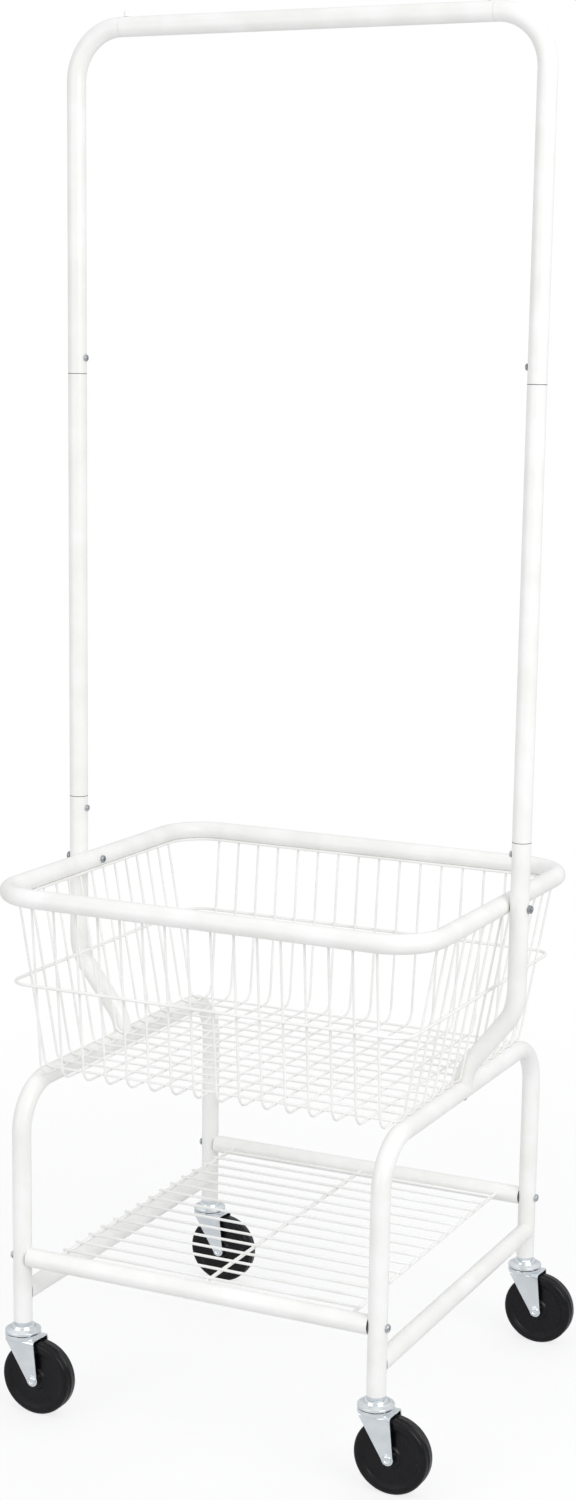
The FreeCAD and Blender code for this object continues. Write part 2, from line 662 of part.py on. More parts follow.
def upper_race(x, y):
    """Pressed cup over the balls, fixed to the king pin."""
    bottom = BALL_HEIGHT + RACE_GAP / 2
    bore = KING_PIN_RADIUS + THREAD_CLEARANCE
    profile = [
        at(bore, 0, bottom),
        at(RACE_RADIUS, 0, bottom),
        at(RACE_RADIUS, 0, bottom + RACE_LIP),
        at(RACE_RADIUS - RACE_SHOULDER_INSET, 0, RACE_TOP - RACE_SHOULDER_DROP),
        at(RACE_RADIUS - RACE_CROWN_INSET, 0, RACE_TOP),
        at(bore, 0, RACE_TOP),
        at(bore, 0, bottom),
    ]
    cup = Part.Face(Part.makePolygon(profile)).revolve(at(0, 0, 0), UP, 360)
    cup.translate(at(x, y, 0))
    return cup.cut(ring_groove(x, y))


def bearing_balls(x, y):
    balls = []
    for i in range(BALL_COUNT):
        turn = 2 * math.pi * i / BALL_COUNT
        spoke = at(math.cos(turn), math.sin(turn), 0) * BALL_PITCH_RADIUS
        balls.append(Part.makeSphere(BALL_RADIUS, at(x, y, BALL_HEIGHT) + spoke))
    return balls


def fork_cheek(x, y):
    """One side plate: as wide as the fork at the top, and rounded about the axle at the bottom."""
    axle_x = x + CASTER_TRAIL
    top_front = at(x - FORK_FRONT_REACH, y, PLATE_TOP)
    top_back = at(x + FORK_BACK_REACH, y, PLATE_TOP)
    axle = at(axle_x, y, WHEEL_RADIUS)

    def tangent_point(corner, turn_sign):
        """Where the straight edge from a top corner meets the round tip."""
        away = corner - axle
        angle = math.atan2(away.z, away.x) + turn_sign * math.acos(FORK_TIP_RADIUS / away.Length)
        return at(axle.x + FORK_TIP_RADIUS * math.cos(angle), y, axle.z + FORK_TIP_RADIUS * math.sin(angle))

    front = tangent_point(top_front, 1)
    back = tangent_point(top_back, -1)
    outline = Part.Wire([
        Part.makeLine(top_back, top_front),
        Part.makeLine(top_front, front),
        Part.Arc(front, at(axle_x, y, WHEEL_RADIUS - FORK_TIP_RADIUS), back).toShape(),
        Part.makeLine(back, top_back),
    ])
    return Part.Face(outline).extrude(BACK * FORK_PLATE)


def caster_fork(x, y):
    """Bent steel fork: top plate, two cheeks and the lower ball race pressed up from the plate."""
    plate = Part.makeBox(
        FORK_FRONT_REACH + FORK_BACK_REACH, FORK_WIDTH, FORK_PLATE,
        at(x - FORK_FRONT_REACH, y - FORK_WIDTH / 2, PLATE_BOTTOM),
    )
    plate = plate.fuse(rod(at(x, y, PLATE_BOTTOM), UP, FORK_PLATE, RACE_RADIUS))
    cheeks = [fork_cheek(x, y - FORK_WIDTH / 2), fork_cheek(x, y + FORK_WIDTH / 2 - FORK_PLATE)]
    race = rod(at(x, y, PLATE_TOP), UP, BALL_HEIGHT - RACE_GAP / 2 - PLATE_TOP, RACE_RADIUS)
    fork = plate.fuse(cheeks + [race])
    pin_hole = rod(at(x, y, PLATE_BOTTOM), UP, RACE_HEIGHT, KING_PIN_RADIUS + KING_PIN_CLEARANCE)
    axle_start = at(x + CASTER_TRAIL, y - FORK_WIDTH, WHEEL_RADIUS)
    axle_hole = rod(axle_start, BACK, 2 * FORK_WIDTH, AXLE_RADIUS + THREAD_CLEARANCE)
    return fork.cut([ring_groove(x, y), pin_hole, axle_hole])


def caster_axle(x, y):
    """Rivet through both cheeks, with an equal round head on each side."""
    half = FORK_WIDTH / 2 + SEAT_GAP
    centre = at(x + CASTER_TRAIL, y, WHEEL_RADIUS)
    axle = rod(centre - BACK * half, BACK, 2 * half, AXLE_RADIUS)
    heads = []
    for outward in (BACK * -1, BACK):
        seat = centre + outward * half
        heads.append(round_head(seat, outward, AXLE_HEAD_RADIUS, AXLE_HEAD_HEIGHT, AXLE_HEAD_ROUNDING))
    return axle.fuse(heads)


def caster_wheel(x, y):
    """Hard rubber wheel with rounded shoulders, dished sides and a raised hub."""
    half = WHEEL_WIDTH / 2
    web = half - WHEEL_WEB_DEPTH
    shoulder = WHEEL_RADIUS - WHEEL_EDGE_RADIUS
    bulge = math.sqrt(0.5) * WHEEL_EDGE_RADIUS
    outline = [
        (BUSH_RADIUS + THREAD_CLEARANCE, half),
        (WHEEL_HUB_RADIUS, half),
        (WHEEL_HUB_RADIUS + WHEEL_WEB_DEPTH, web),
        (WHEEL_WEB_OUTER, web),
        (WHEEL_WEB_OUTER + WHEEL_WEB_DEPTH, half),
        (shoulder, half),
    ]
    edges = []
    for side in (-1, 1):
        points = [at(radius, side * width, 0) for radius, width in outline]
        edges += [Part.makeLine(a, b) for a, b in zip(points, points[1:])]
        middle = at(shoulder + bulge, side * (half - WHEEL_EDGE_RADIUS + bulge), 0)
        tread = at(WHEEL_RADIUS, side * (half - WHEEL_EDGE_RADIUS), 0)
        edges.append(Part.Arc(points[-1], middle, tread).toShape())
    bore = BUSH_RADIUS + THREAD_CLEARANCE
    edges.append(Part.makeLine(at(bore, -half, 0), at(bore, half, 0)))
    flat = half - WHEEL_EDGE_RADIUS
    edges.append(Part.makeLine(at(WHEEL_RADIUS, -flat, 0), at(WHEEL_RADIUS, flat, 0)))
    profile = Part.Wire(Part.sortEdges(edges)[0])
    wheel = Part.Face(profile).revolve(at(0, 0, 0), BACK, 360)
    wheel.translate(at(x + CASTER_TRAIL, y, WHEEL_RADIUS))
    return wheel


def caster_bush(x, y):
    """Steel bush pressed into the hub; it turns on the axle."""
    start = at(x + CASTER_TRAIL, y - BUSH_HALF_LENGTH, WHEEL_RADIUS)
    return straight_tube(start, BACK, 2 * BUSH_HALF_LENGTH, BUSH_RADIUS, AXLE_RADIUS + AXLE_CLEARANCE)


# ---- Nodes ----

SIDES = {"left": -1, "right": 1}
CORNERS = {"front_left": (-1, -1), "front_right": (1, -1), "back_left": (-1, 1), "back_right": (1, 1)}

nodes = {
    "shelf_front_tube": shelf_tube(-LEG_Y),
    "shelf_back_tube": shelf_tube(LEG_Y),
    "shelf_long_wires": shelf_long_wires(),
    "shelf_cross_wires": shelf_cross_wires(),
    "shelf_plugs": shelf_plugs(),
    "shelf_bolts": shelf_bolts(),
    "basket_rim": basket_rim(),
    "basket_top_ring": basket_top_ring(),
    "basket_mid_ring": basket_mid_ring(),
    "basket_long_wires": basket_long_wires(),
    "basket_side_wires": basket_side_wires(),
    "crossbar": crossbar(),
    "post_joint_screws": post_joint_screws(),
    "crossbar_screws": crossbar_screws(),
    "rim_bolts": rim_bolts(),
    "rim_nuts": rim_nuts(),
    "foot_bolts": foot_bolts(),
    "foot_nuts": foot_nuts(),
}
for name, side in SIDES.items():
    nodes[f"side_frame_{name}"] = side_frame(side)
    nodes[f"side_stretcher_{name}"] = side_stretcher(side)
    nodes[f"lower_post_{name}"] = lower_post(side)
    nodes[f"middle_post_{name}"] = middle_post(side)
    nodes[f"upper_corner_{name}"] = upper_corner(side)

legs = {name: (sx * LEG_X, sy * LEG_Y) for name, (sx, sy) in CORNERS.items()}
nodes["leg_inserts"] = [leg_insert(x, y) for x, y in legs.values()]
nodes["caster_stems"] = [caster_stem(x, y) for x, y in legs.values()]
nodes["caster_upper_races"] = [upper_race(x, y) for x, y in legs.values()]
nodes["caster_balls"] = [ball for x, y in legs.values() for ball in bearing_balls(x, y)]
for name, (x, y) in legs.items():
    nodes[f"fork_{name}"] = caster_fork(x, y)
    nodes[f"axle_{name}"] = caster_axle(x, y)
    nodes[f"wheel_{name}"] = caster_wheel(x, y)
    nodes[f"hub_bush_{name}"] = caster_bush(x, y)

os.makedirs("parts", exist_ok=True)
for name, made in nodes.items():
    shape = Part.makeCompound(made) if isinstance(made, list) else made
    if not shape.isValid() or not shape.Solids:
        raise ValueError(f"{name} is not a valid solid")
    shape.exportStep(f"parts/{name}.step")
    print(f"{name}: {len(shape.Solids)} solids, {shape.Volume / 1000:.2f} cm3")
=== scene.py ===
# %% [markdown]
# # A rolling laundry cart in Blender
#
# The cart is a wire basket on a frame of bent steel tube, with a wire shelf low down, a hanging bar on
# two tall posts and four swivel casters. The design comes in as a fixed frame of CAD pieces in metres.
# This lesson gives each of them its finish, and models again the pieces that need more than plain CAD
# shapes: the casters, the screws and nuts, and the small welds that hold the wires together.

# %% Load the frame
import json
import math

import bmesh
import bpy
from mathutils import Matrix, Vector


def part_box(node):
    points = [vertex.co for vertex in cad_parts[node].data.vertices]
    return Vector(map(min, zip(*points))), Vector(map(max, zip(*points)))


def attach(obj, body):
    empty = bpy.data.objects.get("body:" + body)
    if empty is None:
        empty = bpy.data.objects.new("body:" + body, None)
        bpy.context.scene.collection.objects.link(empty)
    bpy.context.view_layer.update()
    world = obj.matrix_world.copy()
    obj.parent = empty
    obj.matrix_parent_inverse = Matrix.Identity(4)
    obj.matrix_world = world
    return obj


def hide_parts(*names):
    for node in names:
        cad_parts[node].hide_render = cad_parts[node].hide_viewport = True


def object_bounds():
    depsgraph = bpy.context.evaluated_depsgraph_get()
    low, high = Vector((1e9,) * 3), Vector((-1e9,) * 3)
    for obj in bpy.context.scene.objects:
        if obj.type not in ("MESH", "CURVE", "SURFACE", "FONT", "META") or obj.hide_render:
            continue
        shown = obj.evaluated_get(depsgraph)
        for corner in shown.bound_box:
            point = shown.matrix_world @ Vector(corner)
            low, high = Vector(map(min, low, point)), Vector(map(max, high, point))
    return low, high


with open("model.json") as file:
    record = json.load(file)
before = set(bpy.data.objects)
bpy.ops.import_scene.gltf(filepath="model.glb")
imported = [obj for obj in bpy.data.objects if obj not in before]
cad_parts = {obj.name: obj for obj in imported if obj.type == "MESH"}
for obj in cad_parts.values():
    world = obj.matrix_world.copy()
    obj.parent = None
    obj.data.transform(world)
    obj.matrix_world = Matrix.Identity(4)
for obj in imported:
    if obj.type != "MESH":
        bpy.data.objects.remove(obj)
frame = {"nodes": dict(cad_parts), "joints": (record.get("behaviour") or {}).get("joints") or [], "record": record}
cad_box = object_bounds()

cad_low, cad_high = [[round(v, 3) for v in corner] for corner in cad_box]
print(f"{len(frame['nodes'])} CAD nodes, box {cad_low} to {cad_high} m")

# %% [markdown]
# ## Working by hand, in code
#
# Blender's operators act on whatever is selected, and the CAD nodes arrive selected. So each piece starts
# by deselecting everything. Faces, edges and corners are then picked by a test on their place or their
# normal, which does the job of the mouse.

# %% Helpers for modelling
MM = 0.001
MERGE_DISTANCE = 0.002 * MM          # corners closer than this are one corner
SMOOTH_ANGLE = math.radians(40)      # faces that meet more sharply than this keep their edge
NEAR = 0.01 * MM                     # how far a place may be off and still count as picked


def start_clean():
    """Leaves edit mode and deselects everything."""
    if bpy.context.object and bpy.context.object.mode != "OBJECT":
        bpy.ops.object.mode_set(mode="OBJECT")
    bpy.ops.object.select_all(action="DESELECT")


def centre_of(part):
    """Middle of a corner, an edge or a face."""
    if isinstance(part, bmesh.types.BMVert):
        return part.co
    return sum((corner.co for corner in part.verts), Vector()) / len(part.verts)


def pick(kind, test):
    """In edit mode, selects the corners, edges or faces that pass a test, and nothing else."""
    bpy.ops.mesh.select_mode(type=kind)
    bpy.ops.mesh.select_all(action="DESELECT")
    shape = bmesh.from_edit_mesh(bpy.context.object.data)
    shape.normal_update()
    parts = {"VERT": shape.verts, "EDGE": shape.edges, "FACE": shape.faces}[kind]
    for part in parts:
        if test(part):
            part.select = True
    shape.select_flush_mode()
    bmesh.update_edit_mesh(bpy.context.object.data)


def add_cylinder(radius, bottom, top, sides=64, centre=(0, 0), along="Z"):
    """A closed cylinder between two heights, or between two places along Y. It is left in edit mode."""
    start_clean()
    middle = (bottom + top) / 2
    place = (*centre, middle) if along == "Z" else (centre[0], middle, centre[1])
    turn = (0, 0, 0) if along == "Z" else (math.pi / 2, 0, 0)
    bpy.ops.mesh.primitive_cylinder_add(
        vertices=sides, radius=radius, depth=top - bottom, location=place, rotation=turn
    )
    bpy.ops.object.transform_apply(location=True, rotation=True, scale=True)
    bpy.ops.object.mode_set(mode="EDIT")
    return bpy.context.object


def step_in(thickness, depth=0.0):
    """Insets the picked faces and moves what is left of them out by a depth, or in if it is negative."""
    bpy.ops.mesh.inset(thickness=thickness, depth=depth, use_even_offset=True)


def drill():
    """Turns the two picked faces into the ends of a hole. Bridging takes the faces away itself."""
    bpy.ops.mesh.bridge_edge_loops()
    bpy.ops.mesh.select_all(action="SELECT")
    bpy.ops.mesh.normals_make_consistent(inside=False)


def modify(piece, kind, **settings):
    """Adds a modifier and applies it."""
    if piece.mode == "EDIT":
        bpy.ops.object.mode_set(mode="OBJECT")
    modifier = piece.modifiers.new(kind.title(), kind)
    for name, value in settings.items():
        setattr(modifier, name, value)
    bpy.context.view_layer.objects.active = piece
    bpy.ops.object.modifier_apply(modifier=modifier.name)


def cut_away(piece, cutter):
    """Takes a cutter's shape out of a piece, then throws the cutter away."""
    start_clean()
    modify(piece, "BOOLEAN", operation="DIFFERENCE", object=cutter, solver="EXACT")
    bpy.data.objects.remove(cutter)


def soften(piece, width, segments=2, angle=30):
    """Rounds every edge sharper than an angle, merges doubled corners and shades the piece smooth."""
    start_clean()
    limit = math.radians(angle)
    modify(piece, "BEVEL", width=width, segments=segments, limit_method="ANGLE", angle_limit=limit)
    piece.select_set(True)
    bpy.ops.object.mode_set(mode="EDIT")
    bpy.ops.mesh.select_all(action="SELECT")
    bpy.ops.mesh.remove_doubles(threshold=MERGE_DISTANCE)
    bpy.ops.mesh.normals_make_consistent(inside=False)
    bpy.ops.object.mode_set(mode="OBJECT")
    bpy.ops.object.shade_smooth_by_angle(angle=SMOOTH_ANGLE)


def dress(piece, finish):
    """Gives a piece one finish and nothing else."""
    piece.data.materials.clear()
    piece.data.materials.append(finish)


def join(pieces, name):
    """One object made of one or several."""
    start_clean()
    for piece in pieces:
        piece.select_set(True)
    bpy.context.view_layer.objects.active = pieces[0]
    if len(pieces) > 1:
        bpy.ops.object.join()
    pieces[0].name = name
    return pieces[0]


def copy_to(master, places, name):
    """Copies of a master, each moved by a matrix, joined in one object."""
    copies = []
    for place in places:
        copy = master.copy()
        copy.data = master.data.copy()
        copy.data.transform(place)
        bpy.context.scene.collection.objects.link(copy)
        copies.append(copy)
    return join(copies, name)


print("helpers ready")

# %% [markdown]
# ## Where things are
#
# Positions are read from the CAD pieces. The casters are worked out from their joints: each has an
# upright swivel axis and a level rolling axis that trails behind it. All four casters are modelled once
# about a swivel axis at the origin, and then moved out to their legs.

# %% Places from the CAD
CORNERS = ("front_left", "front_right", "back_left", "back_right")
joint_at = {joint["name"]: Vector(joint["pos_m"]) for joint in frame["joints"]}
swivel_at = {corner: joint_at[f"swivel_{corner}"] for corner in CORNERS}
caster_places = {corner: Matrix.Translation((place.x, place.y, 0)) for corner, place in swivel_at.items()}
trail = joint_at["roll_front_left"].x - swivel_at["front_left"].x
axle_height = joint_at["roll_front_left"].z
wheel_low, wheel_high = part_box("wheel_front_left")
wheel_radius = (wheel_high.z - wheel_low.z) / 2
wheel_half = (wheel_high.y - wheel_low.y) / 2
print(f"trail {trail / MM:.1f} mm")
print(f"wheel {2 * wheel_radius / MM:.1f} mm across and {2 * wheel_half / MM:.1f} mm wide")

# %% [markdown]
# ## Colour and nodes
#
# Finishes are described in the sRGB hex values that a paint chart would give, and Blender's shaders work
# in linear light, so one function turns the first into the second. Another small function adds any node
# with its settings and its links, which keeps each material short enough to read as a recipe.

# %% Helpers for materials


def paint_chip(hex_code):
    """A linear colour from an sRGB hex code."""
    channels = [int(hex_code[i : i + 2], 16) / 255 for i in (1, 3, 5)]
    linear = [c / 12.92 if c <= 0.04045 else ((c + 0.055) / 1.055) ** 2.4 for c in channels]
    return (*linear, 1.0)


def add_node(tree, kind, sockets=None, links=None, **settings):
    """A new node with its settings, its sockets' values and its incoming links."""
    node = tree.nodes.new(kind)
    for name, value in settings.items():
        setattr(node, name, value)
    for socket, value in (sockets or {}).items():
        node.inputs[socket].default_value = value
    for socket, source in (links or {}).items():
        tree.links.new(source, node.inputs[socket])
    return node


def start_material(name, sockets):
    """A material with a surface shader, and the place on the object that its patterns are drawn from."""
    material = bpy.data.materials.new(name)
    material.use_nodes = True
    tree = material.node_tree
    tree.nodes.clear()
    surface = add_node(tree, "ShaderNodeBsdfPrincipled", sockets)
    add_node(tree, "ShaderNodeOutputMaterial", links={"Surface": surface.outputs["BSDF"]})
    place = add_node(tree, "ShaderNodeTexCoord").outputs["Object"]
    return material, tree, surface, place


def grain(tree, place, size, detail=2.0, roughness=0.5):
    """Noise whose lumps are about `size` metres across, as a value from 0 to 1."""
    sockets = {"Scale": 1 / size, "Detail": detail, "Roughness": roughness}
    return add_node(tree, "ShaderNodeTexNoise", sockets, {"Vector": place}).outputs["Fac"]


def vary(tree, value, low, high, start=0.35, end=0.65):
    """Stretches part of a value's range, for a noise its middle, over another range."""
    sockets = {"From Min": start, "From Max": end, "To Min": low, "To Max": high}
    return add_node(tree, "ShaderNodeMapRange", sockets, {"Value": value}).outputs["Result"]


def blend_colours(tree, value, first, second):
    """A colour between two paint chips, by a value from 0 to 1."""
    ramp = add_node(tree, "ShaderNodeValToRGB", links={"Fac": value})
    ramp.color_ramp.elements[0].color = paint_chip(first)
    ramp.color_ramp.elements[1].color = paint_chip(second)
    ramp.color_ramp.elements[0].position = 0.35
    ramp.color_ramp.elements[1].position = 0.65
    return ramp.outputs["Color"]


def emboss(tree, surface, height, depth, strength):
    """Feeds a height pattern, `depth` metres deep, to the shader as bumps."""
    sockets = {"Distance": depth, "Strength": strength}
    bump = add_node(tree, "ShaderNodeBump", sockets, {"Height": height})
    tree.links.new(bump.outputs["Normal"], surface.inputs["Normal"])


def connect(tree, surface, **sources):
    """Links outputs to the shader's sockets, named with underscores for spaces."""
    for socket, source in sources.items():
        tree.links.new(source, surface.inputs[socket.replace("_", " ")])


print("material helpers ready")

# %% [markdown]
# ## White powder-coated steel
#
# The tubes and wires are mild steel with a polyester powder coat: dry paint powder is sprayed on, clings
# by its charge and is baked until it flows together. It flows out a little unevenly, which gives the eye
# three things: a warm white that varies slightly with the film's thickness, a soft semi-gloss, and the
# fine dimples called orange peel. Real orange peel is about 1.5 mm from dimple to dimple. It is drawn at
# 3 mm, because finer ones don't show at this distance.

# %% Powder coat


def powder_coated_steel():
    sockets = {"IOR": 1.5, "Metallic": 0.0, "Coat Weight": 0.15, "Coat Roughness": 0.25}
    material, tree, surface, place = start_material("powder-coated steel, white", sockets)
    film = grain(tree, place, 60 * MM, detail=3.0)
    handling = grain(tree, place, 18 * MM, detail=4.0, roughness=0.6)
    peel = grain(tree, place, 3 * MM, detail=1.0)
    connect(
        tree, surface,
        Base_Color=blend_colours(tree, film, "#F3F2EE", "#FAFAF7"),
        Roughness=vary(tree, handling, 0.30, 0.42),
    )
    emboss(tree, surface, peel, 0.05 * MM, 0.35)
    return material


coat = powder_coated_steel()
print("made", coat.name)

# %% [markdown]
# ## Zinc-plated steel
#
# Casters and screws are steel, electroplated with a few microns of zinc and dipped in a clear blue
# chromate. The eye sees a bright metal that is a little blue, with cloudy patches where the plating bath
# left it thicker, and a faint grain from the rolled sheet underneath. The screws are barrel-plated: they
# tumble against each other, so they come out greyer and rougher.

# %% Zinc plate


def zinc_plated_steel(name, light, dark, smooth, rough):
    material, tree, surface, place = start_material(name, {"Metallic": 1.0})
    clouds = grain(tree, place, 22 * MM, detail=2.0)
    streaks = add_node(
        tree, "ShaderNodeMapping", {"Scale": (1.0, 1.0, 0.15)}, {"Vector": place}
    ).outputs["Vector"]
    rolled = grain(tree, streaks, 2.0 * MM, detail=1.0)
    connect(
        tree, surface,
        Base_Color=blend_colours(tree, clouds, dark, light),
        Roughness=vary(tree, clouds, smooth, rough),
    )
    emboss(tree, surface, rolled, 0.02 * MM, 0.08)
    return material


zinc = zinc_plated_steel("zinc-plated steel, blue chromate", "#F1F5F7", "#E6ECEF", 0.16, 0.24)
screw_zinc = zinc_plated_steel("zinc-plated screws, barrel-plated", "#C6CACD", "#8F9498", 0.20, 0.34)
print("made", zinc.name, "and", screw_zinc.name)

# %% [markdown]
# ## Hard rubber, bright steel and nylon
#
# The wheels are cast in one piece from hard black rubber. It takes a soft shine from the mould, with
# duller patches where it has been handled. The axle bushes, plugs and bearing balls are turned steel that
# only shows in gaps, and the sleeves in the legs' ends are black nylon.

# %% Rubber, steel and nylon


def hard_rubber():
    sockets = {"IOR": 1.45, "Metallic": 0.0, "Specular IOR Level": 0.3}
    material, tree, surface, place = start_material("hard rubber, black", sockets)
    bloom = grain(tree, place, 14 * MM, detail=4.0, roughness=0.6)
    skin = grain(tree, place, 1.2 * MM, detail=2.0)
    connect(
        tree, surface,
        Base_Color=blend_colours(tree, bloom, "#09090B", "#0F0F12"),
        Roughness=vary(tree, bloom, 0.24, 0.36),
    )
    emboss(tree, surface, skin, 0.03 * MM, 0.3)
    return material


def turned_steel():
    material, tree, surface, place = start_material("turned steel", {"Metallic": 1.0})
    rings = grain(tree, place, 1.0 * MM, detail=1.0)
    connect(
        tree, surface,
        Base_Color=blend_colours(tree, rings, "#8E8E90", "#B4B4B6"),
        Roughness=vary(tree, rings, 0.22, 0.34),
    )
    return material


def moulded_nylon():
    material, tree, surface, place = start_material("moulded nylon, black", {"IOR": 1.53, "Metallic": 0.0})
    texture = grain(tree, place, 1.5 * MM, detail=2.0)
    connect(
        tree, surface,
        Base_Color=blend_colours(tree, texture, "#1A1A1A", "#242424"),
        Roughness=vary(tree, texture, 0.45, 0.6),
    )
    emboss(tree, surface, texture, 0.03 * MM, 0.3)
    return material


# Painted shadow: a mottled dark grey for the shade in the gaps of the post joints.
def painted_joint_shadow():
    material, tree, surface, place = start_material("painted joint shadow, dark", {"Metallic": 1.0})
    shadow_mottle = grain(tree, place, 2.0 * MM, detail=2.0)
    connect(
        tree, surface,
        Base_Color=blend_colours(tree, shadow_mottle, "#3A3A3C", "#56565A"),
        Roughness=vary(tree, shadow_mottle, 0.4, 0.55),
    )
    return material


joint_shadow_paint = painted_joint_shadow()
rubber = hard_rubber()
bare_steel = turned_steel()
nylon = moulded_nylon()
finishes = {
    "white_powder_coat": coat,
    "zinc_plate": zinc,
    "zinc_screws": screw_zinc,
    "bare_steel": bare_steel,
    "black_nylon": nylon,
    "black_rubber": rubber,
}
print("finishes:", ", ".join(finishes))

# %% [markdown]
# ## Finishing the CAD pieces
#
# Tubes, wires and rings have the right shape already. Each one gets the finish of the slot that the
# record names for it. Cut and turned steel is never perfectly sharp, so a weld and a bevel modifier take
# the knife edge off the ends of the shelf's cross wires and off the caster stems. The mesh of a CAD piece
# itself is left as it is.

# %% Finish the CAD nodes
slot_of = {entry["node"]: entry["material_slot"] for entry in frame["record"]["subparts"]}
for name, node in frame["nodes"].items():
    node.material_slots[0].material = finishes[slot_of[name]]


def ease_edges(name, width, angle):
    """Rounds the sharp edges of a CAD node with modifiers, which leave its own mesh alone."""
    node = frame["nodes"][name]
    node.modifiers.new("Weld", "WELD").merge_threshold = MERGE_DISTANCE
    bevel = node.modifiers.new("Bevel", "BEVEL")
    bevel.width = width
    bevel.segments = 2
    bevel.limit_method = "ANGLE"
    bevel.angle_limit = math.radians(angle)


for name in ("shelf_cross_wires", "caster_stems"):
    ease_edges(name, 0.5 * MM, 50)
print("finished", len(frame["nodes"]), "CAD nodes")

# %% [markdown]
# ## The caster wheel
#
# A solid wheel like this is cast in a two-part mould: a tread with round shoulders, a flat ring at the
# edge of each side, a shallow dish, and a boss round the bush. It could be spun from a profile. Here it
# starts as a cylinder on its side, and both of its ends are inset again and again, which keeps every ring
# an exact circle and shows how each step of the side is made.

# %% Model one wheel
BUSH_RADIUS = 7.0 * MM
SHOULDER = 5.0 * MM
RIM_FLAT = 4.8 * MM
LIP_DROP = 1.0 * MM          # the lip inside the rim flat drops this far at once
LIP_STEPS = (0.8 * MM, 1.4 * MM, 1.6 * MM)
DISH = 3.0 * MM
DISH_RISE = 2.0 * MM         # how wide the slope from the dish up to the boss is
BOSS_RADIUS = 14.0 * MM
BOSS_FLAT = 3.5 * MM
BUSH_RECESS = 0.8 * MM

wheel = add_cylinder(wheel_radius, -wheel_half, wheel_half, 128, (trail, axle_height), "Y")
pick("FACE", lambda face: abs(face.normal.y) > 0.9)
step_in(SHOULDER + RIM_FLAT)
step_in(LIP_STEPS[0], -LIP_DROP)
step_in(LIP_STEPS[1])
step_in(LIP_STEPS[2], -(DISH - LIP_DROP))
step_in(wheel_radius - SHOULDER - RIM_FLAT - sum(LIP_STEPS) - BOSS_RADIUS - DISH_RISE)
step_in(DISH_RISE, DISH)
step_in(BOSS_FLAT)
step_in(BUSH_RECESS, -BUSH_RECESS)
step_in(BOSS_RADIUS - BOSS_FLAT - BUSH_RECESS - BUSH_RADIUS)
drill()


def on_tread_corner(edge):
    """An edge where the tread meets a side."""
    reach = centre_of(edge) - Vector((trail, 0, axle_height))
    out = math.hypot(reach.x, reach.z)
    return out > wheel_radius * 0.99 and abs(abs(reach.y) - wheel_half) < NEAR


pick("EDGE", on_tread_corner)
bpy.ops.mesh.bevel(offset=SHOULDER, segments=6, profile=0.5, affect="EDGES")
soften(wheel, 0.45 * MM, 2, 30)
dress(wheel, rubber)
print("one wheel:", len(wheel.data.polygons), "faces,", [round(v / MM, 1) for v in wheel.dimensions], "mm")

# %% [markdown]
# The mould's two halves meet in the middle of the tread and leave a thin raised line. Two straight cuts
# either side of the middle make a narrow band, and fattening that band makes the line.

# %% Mould line on the tread
LINE_HALF = 0.35 * MM
LINE_HEIGHT = 0.12 * MM

start_clean()
wheel.select_set(True)
bpy.context.view_layer.objects.active = wheel
bpy.ops.object.mode_set(mode="EDIT")
for side in (-1, 1):
    bpy.ops.mesh.select_all(action="SELECT")
    bpy.ops.mesh.bisect(plane_co=(0, side * LINE_HALF, 0), plane_no=(0, 1, 0))


def on_mould_line(face):
    place = centre_of(face) - Vector((trail, 0, axle_height))
    return abs(place.y) < LINE_HALF - NEAR and math.hypot(place.x, place.z) > wheel_radius * 0.98


pick("FACE", on_mould_line)
bpy.ops.mesh.inset(thickness=0.0, depth=0.0)
bpy.ops.transform.shrink_fatten(value=LINE_HEIGHT)
bpy.ops.object.mode_set(mode="OBJECT")
print("with the mould line:", len(wheel.data.polygons), "faces")

# %% [markdown]
# ## The caster fork
#
# The fork is one flat steel blank, folded down on both sides of the wheel. Modelling it the same way
# gives the right bends for nothing: a flat sheet, two edges pulled down, their corners moved in to the
# axle and rounded, the two folds bevelled, and the sheet given its 2.5 mm at the end.

# %% Fold one fork
SHEET = 2.5 * MM
FORK_HALF = 19.0 * MM
FRONT_REACH = 17.5 * MM
BACK_REACH = 27.0 * MM
TIP_RADIUS = 7.5 * MM
FOLD_RADIUS = 3.0 * MM
WHEEL_CLEARANCE = 2.4 * MM
PLATE_TOP = 2 * axle_height + WHEEL_CLEARANCE + SHEET
plate_bottom = PLATE_TOP - SHEET
sheet_height = PLATE_TOP - SHEET / 2
sheet_half = FORK_HALF - SHEET / 2
tip_bottom = axle_height - TIP_RADIUS


def foot_of(corner_x, turn_side):
    """Where a cheek's straight edge, tangent to the round tip, comes down to the tip's lowest level."""
    across = trail - corner_x
    down = sheet_height - axle_height
    to_axle = math.atan2(across, down)
    swing = math.asin(TIP_RADIUS / math.hypot(across, down))
    return corner_x + (sheet_height - tip_bottom) * math.tan(to_axle + turn_side * swing)


front_foot = foot_of(-FRONT_REACH, -1)
back_foot = foot_of(BACK_REACH, 1)
start_clean()
bpy.ops.mesh.primitive_plane_add(size=1, location=((BACK_REACH - FRONT_REACH) / 2, 0, sheet_height))
fork = bpy.context.object
fork.scale = (FRONT_REACH + BACK_REACH, 2 * sheet_half, 1)
bpy.ops.object.transform_apply(location=True, rotation=True, scale=True)
bpy.ops.object.mode_set(mode="EDIT")
pick("EDGE", lambda edge: abs(centre_of(edge).y) > sheet_half * 0.99)
bpy.ops.mesh.extrude_region_move(TRANSFORM_OT_translate={"value": (0, 0, tip_bottom - sheet_height)})
for old_x, new_x in ((-FRONT_REACH, front_foot), (BACK_REACH, back_foot)):
    pick("VERT", lambda corner: corner.co.z < axle_height and abs(corner.co.x - old_x) < 0.1 * MM)
    bpy.ops.transform.translate(value=(new_x - old_x, 0, 0))
